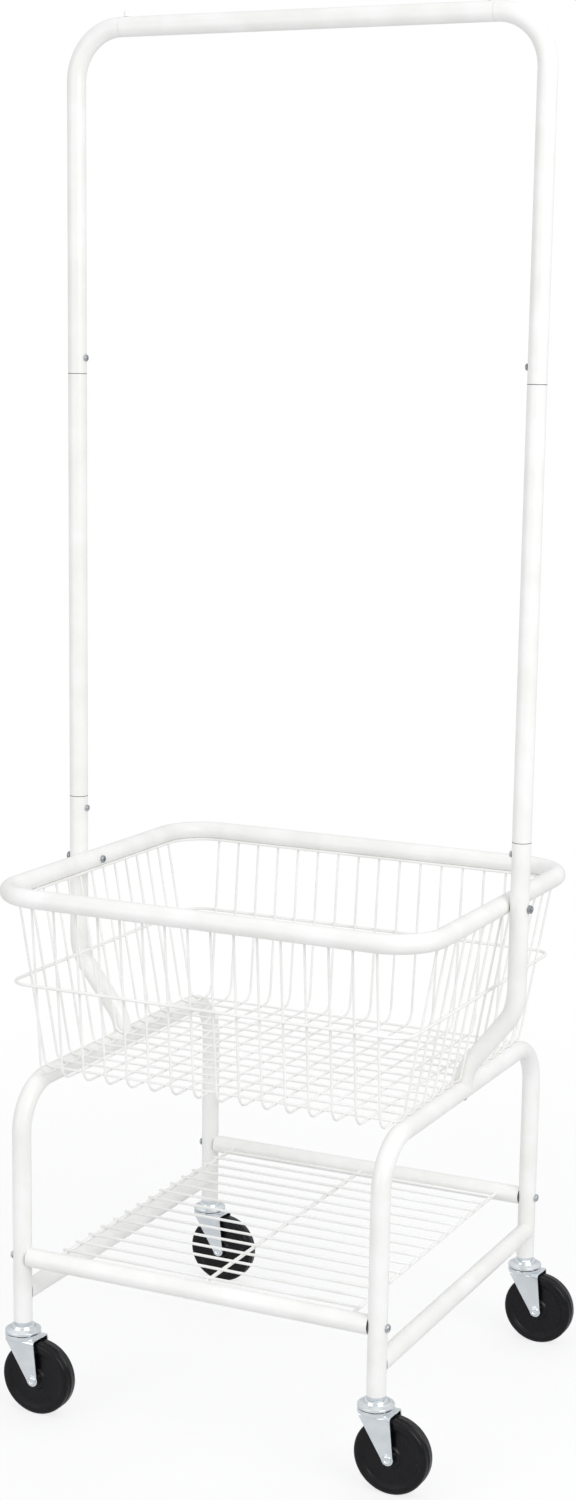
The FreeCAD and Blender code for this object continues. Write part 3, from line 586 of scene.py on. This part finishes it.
for foot in (front_foot, back_foot):
    pick("VERT", lambda corner: corner.co.z < axle_height and abs(corner.co.x - foot) < 0.1 * MM)
    bpy.ops.mesh.bevel(offset=abs(trail - foot) * 0.98, segments=10, profile=0.5, affect="VERTICES")
pick("EDGE", lambda edge: centre_of(edge).z > sheet_height * 0.999
     and abs(centre_of(edge).y) > sheet_half * 0.99)
bpy.ops.mesh.bevel(offset=FOLD_RADIUS, segments=6, profile=0.5, affect="EDGES")
modify(fork, "SOLIDIFY", thickness=SHEET, offset=0.0, use_even_offset=True)
print("folded blank:", [round(v / MM, 1) for v in fork.dimensions], "mm")

# %% [markdown]
# The punched holes come next: one across both cheeks for the axle, one through the plate for the king
# pin. Then the lower ball race is added, a shallow pressed ring welded on top of the plate, with a
# rounded skirt that carries on under the plate.

# %% Punch the holes and add the lower race
AXLE_RADIUS = 4.5 * MM
PIN_RADIUS = 6.0 * MM
LOWER_RACE_RADIUS = 24.0 * MM
LOWER_RACE_TOP = 110.7 * MM
RACE_LIP = 4.5 * MM
GROOVE_DEPTH = 1.2 * MM
GROOVE_SIDE = 1.5 * MM
GROOVE_FLOOR = 3.0 * MM
SKIRT_ROUNDING = 2.2 * MM

axle_punch = add_cylinder(AXLE_RADIUS, -30 * MM, 30 * MM, 48, (trail, axle_height), "Y")
cut_away(fork, axle_punch)
pin_punch = add_cylinder(PIN_RADIUS, 90 * MM, 120 * MM, 48)
cut_away(fork, pin_punch)
soften(fork, 0.35 * MM, 2, 50)

race = add_cylinder(LOWER_RACE_RADIUS, plate_bottom, LOWER_RACE_TOP, 96)
pick("FACE", lambda face: face.normal.z > 0.9)
step_in(RACE_LIP)
step_in(GROOVE_SIDE, -GROOVE_DEPTH)
step_in(GROOVE_FLOOR)
step_in(GROOVE_SIDE, GROOVE_DEPTH)
step_in(LOWER_RACE_RADIUS - RACE_LIP - 2 * GROOVE_SIDE - GROOVE_FLOOR - PIN_RADIUS)
pick("FACE", lambda face: face.normal.z < -0.9)
step_in(LOWER_RACE_RADIUS - PIN_RADIUS)
pick("FACE", lambda face: abs(face.normal.z) > 0.9 and len(face.verts) > 4)
drill()
pick("EDGE", lambda edge: centre_of(edge).z < PLATE_TOP
     and math.hypot(*edge.verts[0].co.xy) > LOWER_RACE_RADIUS * 0.99
     and abs(edge.verts[0].co.z - edge.verts[1].co.z) < NEAR)
bpy.ops.mesh.bevel(offset=SKIRT_ROUNDING, segments=4, profile=0.5, affect="EDGES")
soften(race, 0.5 * MM, 2, 40)
fork = join([fork, race], "fork_master")
dress(fork, zinc)
print("one fork with its race:", len(fork.data.polygons), "faces")

# %% [markdown]
# ## The upper ball race
#
# The cup on top is pressed from sheet as well. Its lip covers the balls, its top slopes up gently, and it
# steps up to a raised crown that the stem's hex collar sits on. A disc with its top face inset ring by
# ring shows each step of that pressing.

# %% Press one cup
CUP_BOTTOM = 111.75 * MM
CUP_LIP = 3.0 * MM
# Each step of the pressing, from the lip to the crown: how far in, and how far up.
CUP_STEPS = ((0.6, 0.5), (1.2, 0.3), (5.2, 1.9), (0.9, 2.2), (0.9, 1.7), (1.2, 0.65))

cup = add_cylinder(LOWER_RACE_RADIUS, CUP_BOTTOM, CUP_BOTTOM + CUP_LIP, 96)
pick("FACE", lambda face: face.normal.z > 0.9)
for inward, upward in CUP_STEPS:
    step_in(inward * MM, upward * MM)
soften(cup, 0.25 * MM, 2, 20)
dress(cup, zinc)
print("one cup tops out at", round(max(corner.co.z for corner in cup.data.vertices) / MM, 2), "mm")

# %% [markdown]
# ## The axle
#
# The wheel turns on a plain rivet: a shank through both cheeks whose ends are spun over into flat domes
# with a small dimple where the rivet set's centre pressed in. A cylinder along Y gives the shank, and its
# ends are inset outwards to the domes.

# %% Rivet one axle
HEAD_RADIUS = 6.0 * MM
SEAT = 19.05 * MM
HEAD_START = 0.01 * MM       # the sliver between the shank's end and the wider head
HEAD_EDGE = 1.1 * MM
# The dome and its dimple, from the edge to the middle: how far in, and how far out.
HEAD_STEPS = ((0.5, 0.6), (0.9, 0.45), (1.0, 0.1), (0.7, -1.1), (0.8, 0.0))
grow = HEAD_RADIUS / AXLE_RADIUS

axle = add_cylinder(AXLE_RADIUS, -SEAT, SEAT, 48, (trail, axle_height), "Y")
for side in (-1, 1):
    pick("FACE", lambda face: face.normal.y * side > 0.9)
    bpy.ops.mesh.extrude_region_move(TRANSFORM_OT_translate={"value": (0, side * HEAD_START, 0)})
    bpy.ops.transform.resize(value=(grow, 1, grow), center_override=(trail, side * SEAT, axle_height))
    bpy.ops.mesh.extrude_region_move(TRANSFORM_OT_translate={"value": (0, side * HEAD_EDGE, 0)})
    for inward, outward in HEAD_STEPS:
        step_in(inward * MM, outward * MM)
soften(axle, 0.25 * MM, 2, 50)
dress(axle, zinc)
print("one axle is", round(axle.dimensions.y / MM, 1), "mm from dome to dome")

# %% [markdown]
# ## Casters in their places
#
# Each master is copied to its four legs. Wheels ride on the rolling bodies, forks and axles on the
# swivelling ones, and the cups stay with the frame.

# %% Place the casters
for corner, place in caster_places.items():
    for master, name, node, body, slot in (
        (wheel, f"rubber_wheel_{corner}", f"wheel_{corner}", f"roller_{corner}", "black_rubber"),
        (fork, f"folded_fork_{corner}", f"fork_{corner}", f"caster_{corner}", "zinc_plate"),
        (axle, f"riveted_axle_{corner}", f"axle_{corner}", f"caster_{corner}", "zinc_plate"),
    ):
        piece = copy_to(master, [place], name)
        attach(piece, body)
        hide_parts(node)
cups = copy_to(cup, list(caster_places.values()), "race_cups")
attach(cups, "frame")
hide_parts("caster_upper_races")
for master in (wheel, fork, axle, cup):
    bpy.data.objects.remove(master)

# %% [markdown]
# ## Screws and bolts
#
# The screws are pan heads with a cross recess. Each is made as it is cold headed: a shank, a head upset
# on its end with a rounded rim, and a cross punched into the middle of the head with walls that lean in.
# One function makes every size, lying along Y with its head towards -Y, and each is then turned to the
# way its bolt faces.

# %% Model a pan-head screw
TIP_CHAMFER = 0.25           # of the shank's radius
RIM_ROUNDING = 0.6           # of the head's height
RECESS_ARM = 0.58            # of the head's radius, as is the width
RECESS_WIDTH = 0.3
RECESS_DEPTH = 1.1           # twice the depth as a share of the head's height
RECESS_DRAFT = 0.55          # how much of its plan the punch keeps at its tip


def pan_head(radius, length, head_radius, head_height):
    """A screw along +Y whose head sits on the plane y = 0."""
    tip = radius * TIP_CHAMFER
    screw = add_cylinder(radius, 0, length - tip, 24, (0, 0), "Y")
    pick("FACE", lambda face: face.normal.y > 0.9)
    step_in(tip, tip)
    head = add_cylinder(head_radius, -head_height, 0, 48, (0, 0), "Y")
    pick("EDGE", lambda edge: all(abs(corner.co.y + head_height) < NEAR for corner in edge.verts))
    bpy.ops.mesh.bevel(offset=head_height * RIM_ROUNDING, segments=5, profile=0.5, affect="EDGES")
    for turn in (0, math.pi / 2):
        start_clean()
        bpy.ops.mesh.primitive_cube_add(size=1, location=(0, -head_height, 0), rotation=(0, turn, 0))
        punch = bpy.context.object
        punch.scale = (2 * head_radius * RECESS_ARM, head_height * RECESS_DEPTH, head_radius * RECESS_WIDTH)
        bpy.ops.object.transform_apply(location=True, rotation=True, scale=True)
        bpy.ops.object.mode_set(mode="EDIT")
        pick("FACE", lambda face: face.normal.y > 0.9)
        bpy.ops.transform.resize(
            value=(RECESS_DRAFT, 1, RECESS_DRAFT), center_override=(0, -head_height * 0.45, 0)
        )
        bpy.ops.object.mode_set(mode="OBJECT")
        cut_away(head, punch)
    soften(head, 0.2 * MM, 2, 40)
    soften(screw, 0.15 * MM, 1, 40)
    whole = join([head, screw], "screw_master")
    dress(whole, screw_zinc)
    return whole


def facing(place, direction):
    """A matrix that lays a piece made along +Y down at a place, pointing in a direction."""
    turn = Vector((0, 1, 0)).rotation_difference(Vector(direction)).to_matrix().to_4x4()
    return Matrix.Translation(place) @ turn


print("screw function ready")

# %% [markdown]
# Every screw's seat is read from the box of the CAD piece that it stands for, so the heads sit on the
# tubes exactly where the holes are.

# %% Place the screws and bolts
# Each is the shank's radius, the head's radius and the head's height.
BOLT = (3.0 * MM, 5.4 * MM, 3.8 * MM)
FOOT_BOLT = (3.0 * MM, 5.4 * MM, 1.8 * MM)
SCREW = (2.4 * MM, 4.6 * MM, 3.2 * MM)


def islands(name):
    """The boxes of the separate solids in a CAD node."""
    shape = bmesh.new()
    shape.from_mesh(frame["nodes"][name].data)
    bmesh.ops.remove_doubles(shape, verts=shape.verts, dist=0.001 * MM)
    shape.verts.ensure_lookup_table()
    to_world = frame["nodes"][name].matrix_world
    waiting = set(shape.verts)
    boxes = []
    while waiting:
        edge_of_search = [waiting.pop()]
        group = list(edge_of_search)
        while edge_of_search:
            for edge in edge_of_search.pop().link_edges:
                for corner in edge.verts:
                    if corner in waiting:
                        waiting.remove(corner)
                        edge_of_search.append(corner)
                        group.append(corner)
        places = [to_world @ corner.co for corner in group]
        low = Vector([min(place[i] for place in places) for i in range(3)])
        high = Vector([max(place[i] for place in places) for i in range(3)])
        boxes.append((low, high))
    shape.free()
    return sorted(boxes, key=lambda box: tuple(round(v, 4) for v in box[0]))


def place_screws(node, size, heads_point):
    """Copies of one screw for every solid of a CAD node. heads_point gives the way out of the head."""
    radius, head_radius, head_height = size
    places = []
    for low, high in islands(node):
        middle = (low + high) / 2
        outward = Vector(heads_point(middle))
        far = Vector([high[i] if outward[i] > 0 else low[i] for i in range(3)])
        length = abs((high - low).dot(outward)) - head_height
        head_top = middle + outward * (far - middle).dot(outward)
        places.append(facing(head_top - outward * head_height, -outward))
    master = pan_head(radius, length, head_radius, head_height)
    name = node.replace("bolts", "pan_bolts").replace("screws", "pan_screws")
    screws = copy_to(master, places, name)
    bpy.data.objects.remove(master)
    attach(screws, "frame")
    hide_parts(node)
    return len(places)


def away_from_middle(place):
    return (1 if place.x > 0 else -1, 0, 0)


def towards_middle(place):
    return (-1 if place.x > 0 else 1, 0, 0)


print(place_screws("shelf_bolts", BOLT, away_from_middle), "shelf bolts")
print(place_screws("post_joint_screws", SCREW, towards_middle), "post screws")
print(place_screws("rim_bolts", BOLT, towards_middle), "rim bolts")
print(place_screws("foot_bolts", FOOT_BOLT, lambda place: (0, 0, -1)), "foot bolts")

# %% [markdown]
# ## Nuts
#
# A hexagon nut is chamfered on its outer face, so its corners are cut by a cone. Taking the hexagon's
# outer ring in with an inset would follow the hexagon, so the chamfer is made as it is on the machine: a
# round disc with a wide bevel, and only what both shapes share is kept.

# %% Model the rim nuts
NUT_FLATS = 10.0 * MM
NUT_HEIGHT = 4.6 * MM
NUT_CHAMFER = 1.0 * MM
CHAMFER_SLOPE = 0.58         # how far the chamfer runs down for each millimetre in, about thirty degrees
BOLT_PLAY = 0.05 * MM


def hex_nut(flats, height, bore, chamfer):
    """A nut along +Y from the plane y = 0, chamfered on its outer face."""
    corner_radius = flats / math.sqrt(3)
    nut = add_cylinder(corner_radius, 0, height, 6, (0, 0), "Y")
    blank = add_cylinder(corner_radius * 1.001, -0.01 * MM, height, 96, (0, 0), "Y")
    pick("EDGE", lambda edge: all(corner.co.y > height * 0.99 for corner in edge.verts))
    bpy.ops.mesh.bevel(offset=chamfer, segments=1, affect="EDGES")
    pick("VERT", lambda corner: abs(corner.co.y - height + chamfer) < NEAR)
    bpy.ops.transform.translate(value=(0, chamfer * (1 - CHAMFER_SLOPE), 0))
    start_clean()
    modify(nut, "BOOLEAN", operation="INTERSECT", object=blank, solver="EXACT")
    bpy.data.objects.remove(blank)
    cut_away(nut, add_cylinder(bore, -1 * MM, height + 1 * MM, 48, (0, 0), "Y"))
    soften(nut, 0.12 * MM, 1, 40)
    return nut


nut_places = []
for low, high in islands("rim_nuts"):
    middle = (low + high) / 2
    out = Vector(away_from_middle(middle))
    nut_places.append(facing(middle - out * NUT_HEIGHT / 2, out))
nut = hex_nut(NUT_FLATS, NUT_HEIGHT, BOLT[0] + BOLT_PLAY, NUT_CHAMFER)
dress(nut, screw_zinc)
nuts = copy_to(nut, nut_places, "hex_rim_nuts")
bpy.data.objects.remove(nut)
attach(nuts, "frame")
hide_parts("rim_nuts")
print(len(nut_places), "nuts of", len(nuts.data.polygons), "faces in all")

# %% [markdown]
# ## Welds
#
# Where wires cross they are resistance welded: two electrodes squeeze them and a pulse of current melts
# them into each other, and a small collar of metal is pushed out round the joint. Under the powder coat
# it shows as a soft lump. There are hundreds, so one lump is a short drum of 26 faces with stepped ends,
# pulled out a little on one side, and every other one is a copy.

# %% Find the crossings
LINE_GAP = 4 * MM            # corners further apart than this belong to two wires


def wire_lines(name, axis, height_range):
    """Places across one axis where a row of parallel wires passes, from the corners of its CAD node."""
    node = frame["nodes"][name]
    low, high = height_range
    found = []
    for corner in node.data.vertices:
        place = node.matrix_world @ corner.co
        if low < place.z < high:
            found.append(place[axis])
    found.sort()
    groups = [[found[0]]]
    for value in found[1:]:
        if value - groups[-1][-1] > LINE_GAP:
            groups.append([])
        groups[-1].append(value)
    return [(group[0] + group[-1]) / 2 for group in groups]


long_low, long_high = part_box("basket_long_wires")
side_low, side_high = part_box("basket_side_wires")
WIRE = 3.2 * MM
long_floor = long_low.z + WIRE / 2
side_floor = side_low.z + WIRE / 2
long_x = wire_lines("basket_long_wires", 0, (long_low.z - MM, long_high.z + MM))
side_y = wire_lines("basket_side_wires", 1, (side_low.z - MM, side_high.z + MM))
print(len(long_x), "long wires at floor height", round(long_floor / MM, 1))
print(len(side_y), "side wires at floor height", round(side_floor / MM, 1))

# %% Model one weld
WELD_RADIUS = 2.3 * MM
WELD_HALF = 0.9 * MM
WELD_STEP = (0.9 * MM, 0.8 * MM)
WELD_PULL = 1.15

weld = add_cylinder(WELD_RADIUS, -WELD_HALF, WELD_HALF, 8)
pick("FACE", lambda face: abs(face.normal.z) > 0.9)
step_in(*WELD_STEP)
pick("VERT", lambda corner: corner.co.x > 0)
bpy.ops.transform.resize(value=(WELD_PULL, 1, 1), center_override=(0, 0, 0))
bpy.ops.object.mode_set(mode="OBJECT")
dress(weld, coat)
weld.select_set(True)
bpy.ops.object.shade_smooth()
print("one weld has", len(weld.data.polygons), "faces")

# %% Lay out the welds
UPRIGHT = Matrix.Identity(4)
FACING_FRONT = Matrix.Rotation(math.pi / 2, 4, "X")
FACING_SIDE = Matrix.Rotation(math.pi / 2, 4, "Y")


def weld_row(name, places):
    """Welds at places, each a location with the way it faces, joined in one piece."""
    row = copy_to(weld, [Matrix.Translation(place) @ turn for place, turn in places], name)
    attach(row, "frame")
    print(name, len(places), "welds")


between = (long_floor + side_floor) / 2
floor_welds = [((x, y, between), UPRIGHT) for x in long_x for y in side_y]
weld_row("basket_floor_welds", floor_welds)

ring_low, ring_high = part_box("basket_mid_ring")
ring_height = (ring_low.z + ring_high.z) / 2
RING_WIRE = 4.4 * MM
ring_x = ring_high.x - RING_WIRE
ring_y = ring_high.y - RING_WIRE
ring_welds = []
for side in (-1, 1):
    ring_welds += [((x, side * ring_y, ring_height), FACING_FRONT) for x in long_x]
    ring_welds += [((side * ring_x, y, ring_height), FACING_SIDE) for y in side_y]
weld_row("basket_ring_welds", ring_welds)

WELD_SINK = 0.4 * MM         # the rim welds lie this far below the wires' ends
top_y = long_high.y - WIRE / 2
top_x = side_high.x - WIRE / 2
top_height = long_high.z - WELD_SINK
rim_welds = []
for side in (-1, 1):
    rim_welds += [((x, side * top_y, top_height), UPRIGHT) for x in long_x]
    rim_welds += [((side * top_x, y, top_height), UPRIGHT) for y in side_y]
weld_row("basket_rim_welds", rim_welds)

cross_low, cross_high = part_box("shelf_cross_wires")
under_low, under_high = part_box("shelf_long_wires")
shelf_x = wire_lines("shelf_long_wires", 0, (under_low.z - MM, under_high.z + MM))
shelf_y = wire_lines("shelf_cross_wires", 1, (cross_low.z - MM, cross_high.z + MM))
weld_row("shelf_welds", [((x, y, cross_low.z), UPRIGHT) for x in shelf_x for y in shelf_y])
bpy.data.objects.remove(weld)

# %% [markdown]
# ## Painted shadow at the post joints
#
# Where a middle post meets the posts below and above it, the narrow gap of the joint lies in shade. A thin
# dark band is painted round the post in its place, a painted shadow which tells the eye that the bar comes
# apart. A short disc drilled through its middle makes that band.

# %% Rings at the post joints
TUBE_RADIUS = 12.7 * MM
RING_PROUD = 0.05 * MM
RING_HALF = 0.45 * MM
RING_WIDTH = 1.3 * MM
RING_OFFSET = 0.15 * MM      # the ring's middle past the joint, into the middle post

ring = add_cylinder(TUBE_RADIUS + RING_PROUD, -RING_HALF, RING_HALF, 64)
pick("FACE", lambda face: abs(face.normal.z) > 0.9)
step_in(RING_WIDTH)
drill()
soften(ring, 0.1 * MM, 1, 40)
# The ring's dark finish is painted shadow for the shade in the joint's gap.
dress(ring, joint_shadow_paint)
joint_places = []
for side in ("left", "right"):
    low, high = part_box(f"middle_post_{side}")
    middle_x = (low.x + high.x) / 2
    lower_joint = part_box(f"lower_post_{side}")[1].z
    upper_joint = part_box(f"upper_corner_{side}")[0].z
    joint_places += [(middle_x, 0, lower_joint + RING_OFFSET), (middle_x, 0, upper_joint - RING_OFFSET)]
rings = copy_to(ring, [Matrix.Translation(place) for place in joint_places], "painted_joint_shadow_rings")
bpy.data.objects.remove(ring)
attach(rings, "frame")
print("painted joint shadows at", [(round(x / MM, 1), round(z / MM, 1)) for x, y, z in joint_places])

# %% [markdown]
# ## Shelf tubes
#
# The two tubes that carry the shelf are cut a little short and only then coped, so that they bear on the
# legs above and below the bolt, and their sides stop before they reach round the leg. Each is modelled
# that way: a closed rod with a bore drilled through it, and the rounds of the two legs taken out of its
# ends.

# %% Cut and cope the shelf tubes
WALL = 1.2 * MM
SIDE_SHORT = 11.0 * MM       # the sides stop this far before the legs' centrelines
LEG_PLAY = 0.05 * MM
LEG_REACH = 40 * MM          # how far the cutter stands above and below the tube

leg_x = swivel_at["front_right"].x
for name, title in (("shelf_front_tube", "coped_front_tube"), ("shelf_back_tube", "coped_back_tube")):
    low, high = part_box(name)
    middle = (low + high) / 2
    tube = add_cylinder(TUBE_RADIUS, -(leg_x - SIDE_SHORT), leg_x - SIDE_SHORT, 96, (0, 0), "Y")
    pick("FACE", lambda face: abs(face.normal.y) > 0.9)
    step_in(WALL)
    drill()
    bpy.ops.object.mode_set(mode="OBJECT")
    tube.data.transform(Matrix.Translation(middle) @ Matrix.Rotation(math.pi / 2, 4, "Z"))
    for side in (-1, 1):
        leg = add_cylinder(
            TUBE_RADIUS + LEG_PLAY, middle.z - LEG_REACH, middle.z + LEG_REACH, 96, (side * leg_x, middle.y)
        )
        cut_away(tube, leg)
    soften(tube, 0.15 * MM, 1, 50)
    dress(tube, coat)
    tube.name = title
    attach(tube, "frame")
    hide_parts(name)
    print(title, [round(v / MM, 1) for v in tube.dimensions], "mm")

# %% [markdown]
# ## Camera
#
# The cart is tall and narrow, so the sensor's long side stands upright. The camera stands a little to the
# right, at chest height, looks slightly down and leans by about a degree. The small shifts keep the
# posts' convergence gentle while the whole cart stays in view.

# %% Camera
LENS_MM = 56.458
AZIMUTH = math.radians(23.81)
PITCH = math.radians(11.11)
ROLL = math.radians(1.26)
SENSOR_HEIGHT_MM = 36
SHIFT = (-0.0623, 0.0546)
STAND = (1.3777, -2.8178, 1.3987)

camera_data = bpy.data.cameras.new("camera")
camera_data.sensor_fit = "VERTICAL"
camera_data.sensor_height = SENSOR_HEIGHT_MM
camera_data.lens = LENS_MM
camera_data.shift_x, camera_data.shift_y = SHIFT
camera = bpy.data.objects.new("camera", camera_data)
bpy.context.scene.collection.objects.link(camera)
look = Vector((-math.sin(AZIMUTH) * math.cos(PITCH), math.cos(AZIMUTH) * math.cos(PITCH), -math.sin(PITCH)))
level = Vector((math.cos(AZIMUTH), math.sin(AZIMUTH), 0))
upward = level.cross(look)
right = math.cos(ROLL) * level + math.sin(ROLL) * upward
above = math.cos(ROLL) * upward - math.sin(ROLL) * level
turned = Matrix((right, above, -look)).transposed().to_4x4()
camera.matrix_world = Matrix.Translation(STAND) @ turned
bpy.context.scene.camera = camera
print("camera", [round(v, 3) for v in camera.location], "m, lens", LENS_MM, "mm")

# %% [markdown]
# ## Floor, backdrop and light
#
# A white cart before a white backdrop needs gentle light that still has a direction. A large soft light
# on the right makes the right-hand sides of the tubes white and leaves their left sides a light grey. The
# floor is a pale disc that fades away at its edge, so that there is no horizon, and the world behind it
# is plain white.

# %% Floor
FLOOR_RADIUS = 2.2
FLOOR_STRENGTH = 0.22
FADE_FROM = 0.5
FADE_TO = 2.1

start_clean()
bpy.ops.mesh.primitive_circle_add(vertices=96, radius=FLOOR_RADIUS, fill_type="NGON")
floor = bpy.context.object
floor.name = "studio_floor"
material, tree, surface, place = start_material("matt floor paint, white", {"Roughness": 0.7, "IOR": 1.45})
mottle = grain(tree, place, 0.35, detail=3.0)
connect(
    tree, surface,
    Base_Color=blend_colours(tree, mottle, "#F5F5F5", "#F8F8F8"),
    Roughness=vary(tree, mottle, 0.65, 0.75),
)
reach = add_node(tree, "ShaderNodeVectorMath", links={0: place}, operation="LENGTH").outputs["Value"]
fade_range = {"From Min": FADE_FROM, "From Max": FADE_TO, "To Min": FLOOR_STRENGTH, "To Max": 0.0}
fade = add_node(
    tree, "ShaderNodeMapRange", fade_range, {"Value": reach}, interpolation_type="SMOOTHSTEP"
).outputs["Result"]
connect(tree, surface, Alpha=fade)
floor.data.materials.append(material)

# %% World and lights


def soft_light(name, size, energy, place, target):
    """A square area light aimed at a point."""
    light_data = bpy.data.lights.new(name, "AREA")
    light_data.size = size
    light_data.energy = energy
    light = bpy.data.objects.new(name, light_data)
    light.location = place
    light.rotation_euler = (Vector(target) - Vector(place)).to_track_quat("-Z", "Y").to_euler()
    bpy.context.scene.collection.objects.link(light)


soft_light("key_light", 2.4, 60, (3.2, -1.6, 2.6), (0, 0, 0.9))
soft_light("front_light", 2.6, 24, (-1.6, -3.6, 1.2), (0, 0, 0.6))

world = bpy.data.worlds.new("studio")
bpy.context.scene.world = world
world.use_nodes = True
tree = world.node_tree
tree.nodes.clear()
ray = add_node(tree, "ShaderNodeLightPath").outputs["Is Camera Ray"]
direction = add_node(tree, "ShaderNodeTexCoord").outputs["Generated"]
height = add_node(tree, "ShaderNodeSeparateXYZ", links={"Vector": direction}).outputs["Z"]
ceiling = vary(tree, height, 0.60, 0.92, 0.0, 0.9)
ground = vary(tree, height, 0.10, 0.0, -0.6, 0.0)
brightness = add_node(tree, "ShaderNodeMath", links={0: ceiling, 1: ground}, operation="ADD").outputs["Value"]
room = add_node(tree, "ShaderNodeBackground", {"Color": paint_chip("#FBFCFF")}, {"Strength": brightness})
backdrop = add_node(tree, "ShaderNodeBackground", {"Color": paint_chip("#FFFFFF"), "Strength": 1.0})
sides = {0: ray, 1: room.outputs["Background"], 2: backdrop.outputs["Background"]}
mix = add_node(tree, "ShaderNodeMixShader", links=sides)
add_node(tree, "ShaderNodeOutputWorld", links={"Surface": mix.outputs["Shader"]})
bpy.context.scene.view_settings.view_transform = "Standard"

# %% [markdown]
# ## The size of the CAD
#
# Everything modelled here stays within the box of the CAD, but for the wheels' mould lines, which stand a
# tenth of a millimetre proud. The last step prints the box of the CAD.

# %% Print the CAD box
print("CAD", [[round(v, 4) for v in corner] for corner in cad_box])
